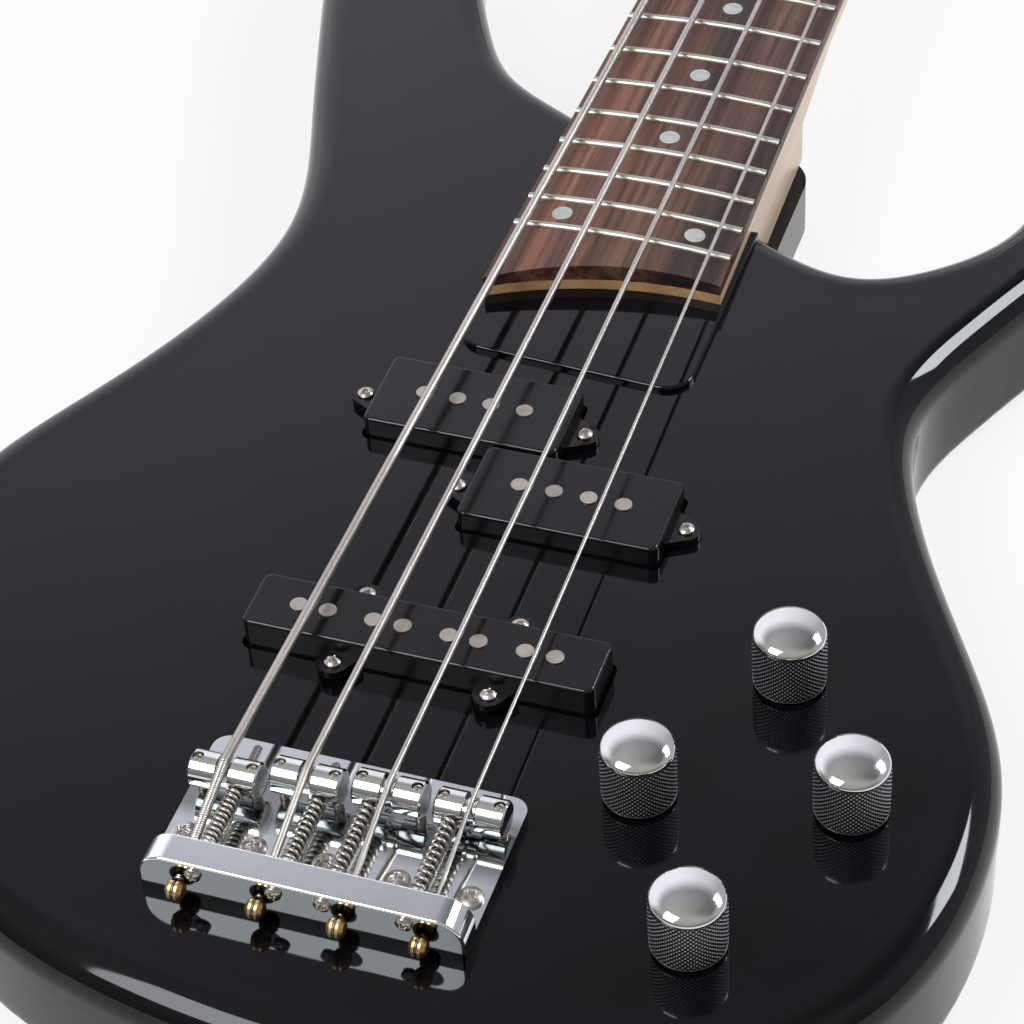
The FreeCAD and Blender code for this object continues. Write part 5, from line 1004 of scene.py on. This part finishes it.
def wound_finish(name, pitch):
    """Nickel-wound steel: the ribs as a bump along the piece's own map, with painted shade between the
    windings. Fine windings are closer together than the eye can part, so they are drawn more softly."""
    clear = rib_clarity(pitch)
    # The tint is lifted where the ribs are clear, to make up for the painted shade between their windings.
    light = 0.80 + 0.40 * clear
    made, shader = new_finish(f"wound_string_{name}_finish")
    along = axes(made, add(made, "ShaderNodeUVMap", uv_map="way_round_and_along").outputs[0])
    winding = combine(made, "SUBTRACT", combine(made, "DIVIDE", along["Y"], pitch), along["X"])
    wave = combine(made, "PINGPONG", winding, 0.5)
    smudge = noise(made, 90, (1, 0.3, 1))
    dull = np.array([0.52, 0.488, 0.45]) * light
    bright = np.array([0.64, 0.605, 0.56]) * light
    tint = ramp(made, smudge, [(0.3, dull), (0.7, bright)])
    # Painted shade: near black at the crease between two windings.
    valley_shade = ramp(made, wave, [
        (0.0, (0.06, 0.058, 0.055)), (0.14, (0.5, 0.49, 0.47)), (0.26, (1, 1, 1))])
    wire(made, shader, {
        "Base Color": mix(made, 0.9 * clear, tint, valley_shade, "MULTIPLY"),
        "Metallic": 1.0,
        "Roughness": spread(made, smudge, 0.28, 0.38),
        "Normal": bump(made, wave, 0.3 * clear, pitch * 0.4),
    })
    return made


def string_piece(part, name, material, distances, steps):
    """One length of a string, from its distances along the route."""
    path = np.stack([np.interp(distances, steps, routes[name][:, axis]) for axis in range(3)], axis=-1)
    rings = wound_rings(path, distances, string_radius[name], winding_pitch[name])
    piece = ring_piece(f"string_{name}_{part}", rings, material, distances)
    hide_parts(f"string_{name}")
    return piece


for name, route in routes.items():
    pitch = winding_pitch[name]
    steps = np.concatenate([[0], np.cumsum(np.linalg.norm(np.diff(route, axis=0), axis=1))])
    close = np.arange(0, ribbed_length, pitch / rows_per_winding)
    far = np.arange(ribbed_length, steps[nut_point], far_step)
    distances = np.unique(np.concatenate([close, far, steps[nut_point:]]))
    crown = steps[crown_point]
    wound = wound_finish(name, pitch)
    tail_piece = string_piece("tail", name, wound, np.append(distances[distances < crown], crown), steps)
    run_piece = string_piece("run", name, wound, np.append(crown, distances[distances > crown]), steps)
    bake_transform(tail_piece)
    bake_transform(run_piece)
    print(name, "rows:", len(distances) + 1)

# %% Loops round the ball ends
loop_wire = 0.36 * mm
loop_radius = 2.12 * mm
loop_points = 48
loop_angle = np.arange(loop_points) / loop_points * turn
loop_circle = np.stack([np.zeros_like(loop_angle), np.cos(loop_angle), np.sin(loop_angle)], axis=-1)
loop_across = np.stack([np.cos(loop_angle[::4]), np.sin(loop_angle[::4])], axis=-1)
loop_ring = (loop_circle[:, None] * (loop_radius + loop_wire * (1 + loop_across[None, :, :1]))
             + np.array([loop_wire, 0, 0]) * loop_across[None, :, 1:])
loop_rings = np.stack([loop_ring + ball for ball in balls.values()])
# The loops are real wire; their dark steel is painted shade in the balls' grooves.
loops = ring_piece("ball_loops", loop_rings, shade_dark_steel, endless=True)
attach(loops, "bass")
print("loops round", len(balls), "ball ends")

# %% [markdown]
# ## Back of the bridge
# Seen from the tail, the bar's polished back ends in a black line: its foot is undercut and mirrors only
# the lacquer next to it. Each ball sits in a dark countersink, and the plate is dim under the saddles. All
# three are shadows too deep for the light to reach, so the finish of the bridge draws them, from the
# height over the body, the distance to a ball and the place along the strings.

# %% Dark foot and countersinks
dark_share = 0.03
dim_share = 0.45
dim_from = (-20 * mm, -15 * mm)
dim_to = (-1 * mm, 3 * mm)
countersink_shift = np.array([0.9, 0, 2.3]) * mm
countersink_radius = 3.2 * mm
countersink_edge = countersink_radius + 0.3 * mm
place = own_space(bridge_chrome)
spot = axes(bridge_chrome, place)
light_share = spread(bridge_chrome, spot["Z"], dark_share, 1, plate_top - 0.1 * mm, plate_top + 0.3 * mm)
for ball in balls.values():
    sink = ball + countersink_shift
    sink_place = (sink[0], bar_back, sink[2])
    away = combine(bridge_chrome, "DISTANCE", place, sink_place, kind=vector_math, output="Value")
    shadow = spread(bridge_chrome, away, dark_share, 1, countersink_radius, countersink_edge)
    light_share = combine(bridge_chrome, "MULTIPLY", light_share, shadow)
in_front = spread(bridge_chrome, spot["Y"], 0, 1, bar_back + 0.2 * mm, bar_back + 0.5 * mm)
light_share = combine(bridge_chrome, "MAXIMUM", light_share, in_front)
behind_saddles = spread(bridge_chrome, spot["Y"], 1, dim_share, *dim_from)
before_saddles = spread(bridge_chrome, spot["Y"], dim_share, 1, *dim_to)
under_saddles = combine(bridge_chrome, "MAXIMUM", behind_saddles, before_saddles)
light_share = combine(bridge_chrome, "MULTIPLY", light_share, under_saddles)
shader = bridge_chrome.node_tree.nodes["Principled BSDF"]
bright = shader.inputs["Base Color"].links[0].from_socket
wire(bridge_chrome, shader, {"Base Color": mix(bridge_chrome, 1.0, bright, light_share, "MULTIPLY")})
print("countersinks on the back of the bridge:", len(balls))

# %% [markdown]
# ## Floor, backdrop and light
# The photograph is a studio cut-out: everything round the bass is white. A wide pale floor under the
# body keeps a soft shadow, and the world is white where the camera looks past it. Lacquer and chrome
# only look right with something to mirror. The photograph's own reflections show what stood there: a
# wall that is white low down, dim higher up and darker to the right, and two soft boxes, one far
# behind on the right and one near on the left.

# %% Floor
floor_z = cad_box[0].z - 1.0 * mm
floor_reach = 6
floor_corners = np.array([(-1, -1), (1, -1), (1, 1), (-1, 1)]) * floor_reach
floor_white_share = 0.82


def mirrored_rays(owner):
    """Which rays come straight from the camera, and which come by way of a mirror or a clear piece."""
    ray = add(owner, "ShaderNodeLightPath").outputs
    return ray["Is Camera Ray"], combine(owner, "MAXIMUM", ray["Is Glossy Ray"], ray["Is Transmission Ray"])


floor_mesh = bpy.data.meshes.new("studio_floor")
floor_mesh.from_pydata([(x, y, floor_z) for x, y in floor_corners], [], [(0, 1, 2, 3)])
floor = bpy.data.objects.new("studio_floor", floor_mesh)
bpy.context.collection.objects.link(floor)
paper, shader = new_finish("floor_paper")
wire(paper, shader, {
    "Base Color": ramp(paper, noise(paper, 40), [(0.3, (0.93, 0.93, 0.935)), (0.7, (0.95, 0.95, 0.955))]),
    "Roughness": 0.9,
})
seen, shiny = mirrored_rays(paper)
white = add(paper, "ShaderNodeEmission", {"Color": (1, 1, 1, 1), "Strength": 1.0})
lightened = add(paper, "ShaderNodeMixShader", {
    0: combine(paper, "MULTIPLY", combine(paper, "MAXIMUM", seen, shiny), floor_white_share),
    1: shader.outputs[0], 2: white.outputs[0]})
wire(paper, paper.node_tree.nodes["Material Output"], {"Surface": lightened.outputs[0]})
floor.data.materials.append(paper)
print("floor at", round(floor_z, 4))

# %% World and soft boxes
world = bpy.data.worlds.new("studio_world")
bpy.context.scene.world = world
world.use_nodes = True
way = axes(world, own_space(world, "Generated"))
back_wall = ramp(world, way["Z"], [
    (0.00, (1.08, 1.06, 1.16)), (0.56, (1.15, 1.13, 1.24)), (0.62, (1.06, 1.04, 1.15)),
    (0.68, (0.85, 0.835, 0.92)), (0.74, (0.57, 0.56, 0.62)), (0.79, (0.38, 0.375, 0.41)),
    (0.88, (0.44, 0.435, 0.45)), (1.00, (0.50, 0.485, 0.46))])
camera_side = ramp(world, way["Z"], [
    (0.00, (0.17, 0.165, 0.16)), (0.35, (0.26, 0.25, 0.24)), (0.65, (0.44, 0.425, 0.40)),
    (1.00, (0.50, 0.485, 0.46))])
rightward = spread(world, way["X"], 1.05, 0.42, -0.35, 0.3)
backward = spread(world, way["Y"], 0, 1, -0.25, 0.2, interpolation_type="SMOOTHSTEP")
mirrored = mix(world, backward, camera_side, mix(world, 1.0, back_wall, rightward, "MULTIPLY"))
seen, shiny = mirrored_rays(world)
lit = mix(world, shiny, (0.25, 0.25, 0.255, 1), mirrored)
wire(world, world.node_tree.nodes["Background"], {"Color": mix(world, seen, lit, (1, 1, 1, 1))})

lit_point = Vector((0.05, 0.10, 0.04))
box_distance = 1.6
box_tints = {"shine": (0.95, 0.985, 1.03), "glow": (1, 1, 1)}


def soft_box(name, way, along, length, width, shine, glow):
    """A rectangular lamp seen from the bass in one way, its long side lying along another. What mirrors
    show of it and what it sheds on dull surfaces are two lamps in one place, of two brightnesses."""
    way = Vector(way).normalized()
    long_side = (Vector(along) - way * way.dot(Vector(along))).normalized()
    turned = Matrix((long_side, way.cross(long_side), way)).transposed().to_4x4()
    for kind, brightness in (("shine", shine), ("glow", glow)):
        lamp = bpy.data.lights.new(f"{name}_{kind}", "AREA")
        lamp.shape = "RECTANGLE"
        lamp.size = length
        lamp.size_y = width
        lamp.energy = brightness * math.pi * length * width
        lamp.color = box_tints[kind]
        made = bpy.data.objects.new(f"{name}_{kind}", lamp)
        made.visible_diffuse = kind == "glow"
        made.visible_glossy = kind == "shine"
        bpy.context.collection.objects.link(made)
        made.matrix_world = Matrix.Translation(lit_point + way * box_distance) @ turned


soft_box("far_right_box", (0.569, 0.51, 0.651), (0.87, -0.36, -0.34), 0.72, 0.32, 19, 20)
soft_box("near_left_box", (-0.40, -0.50, 0.77), (-0.35, -0.85, -0.40), 1.0, 0.65, 9, 7)
print("lamps set")
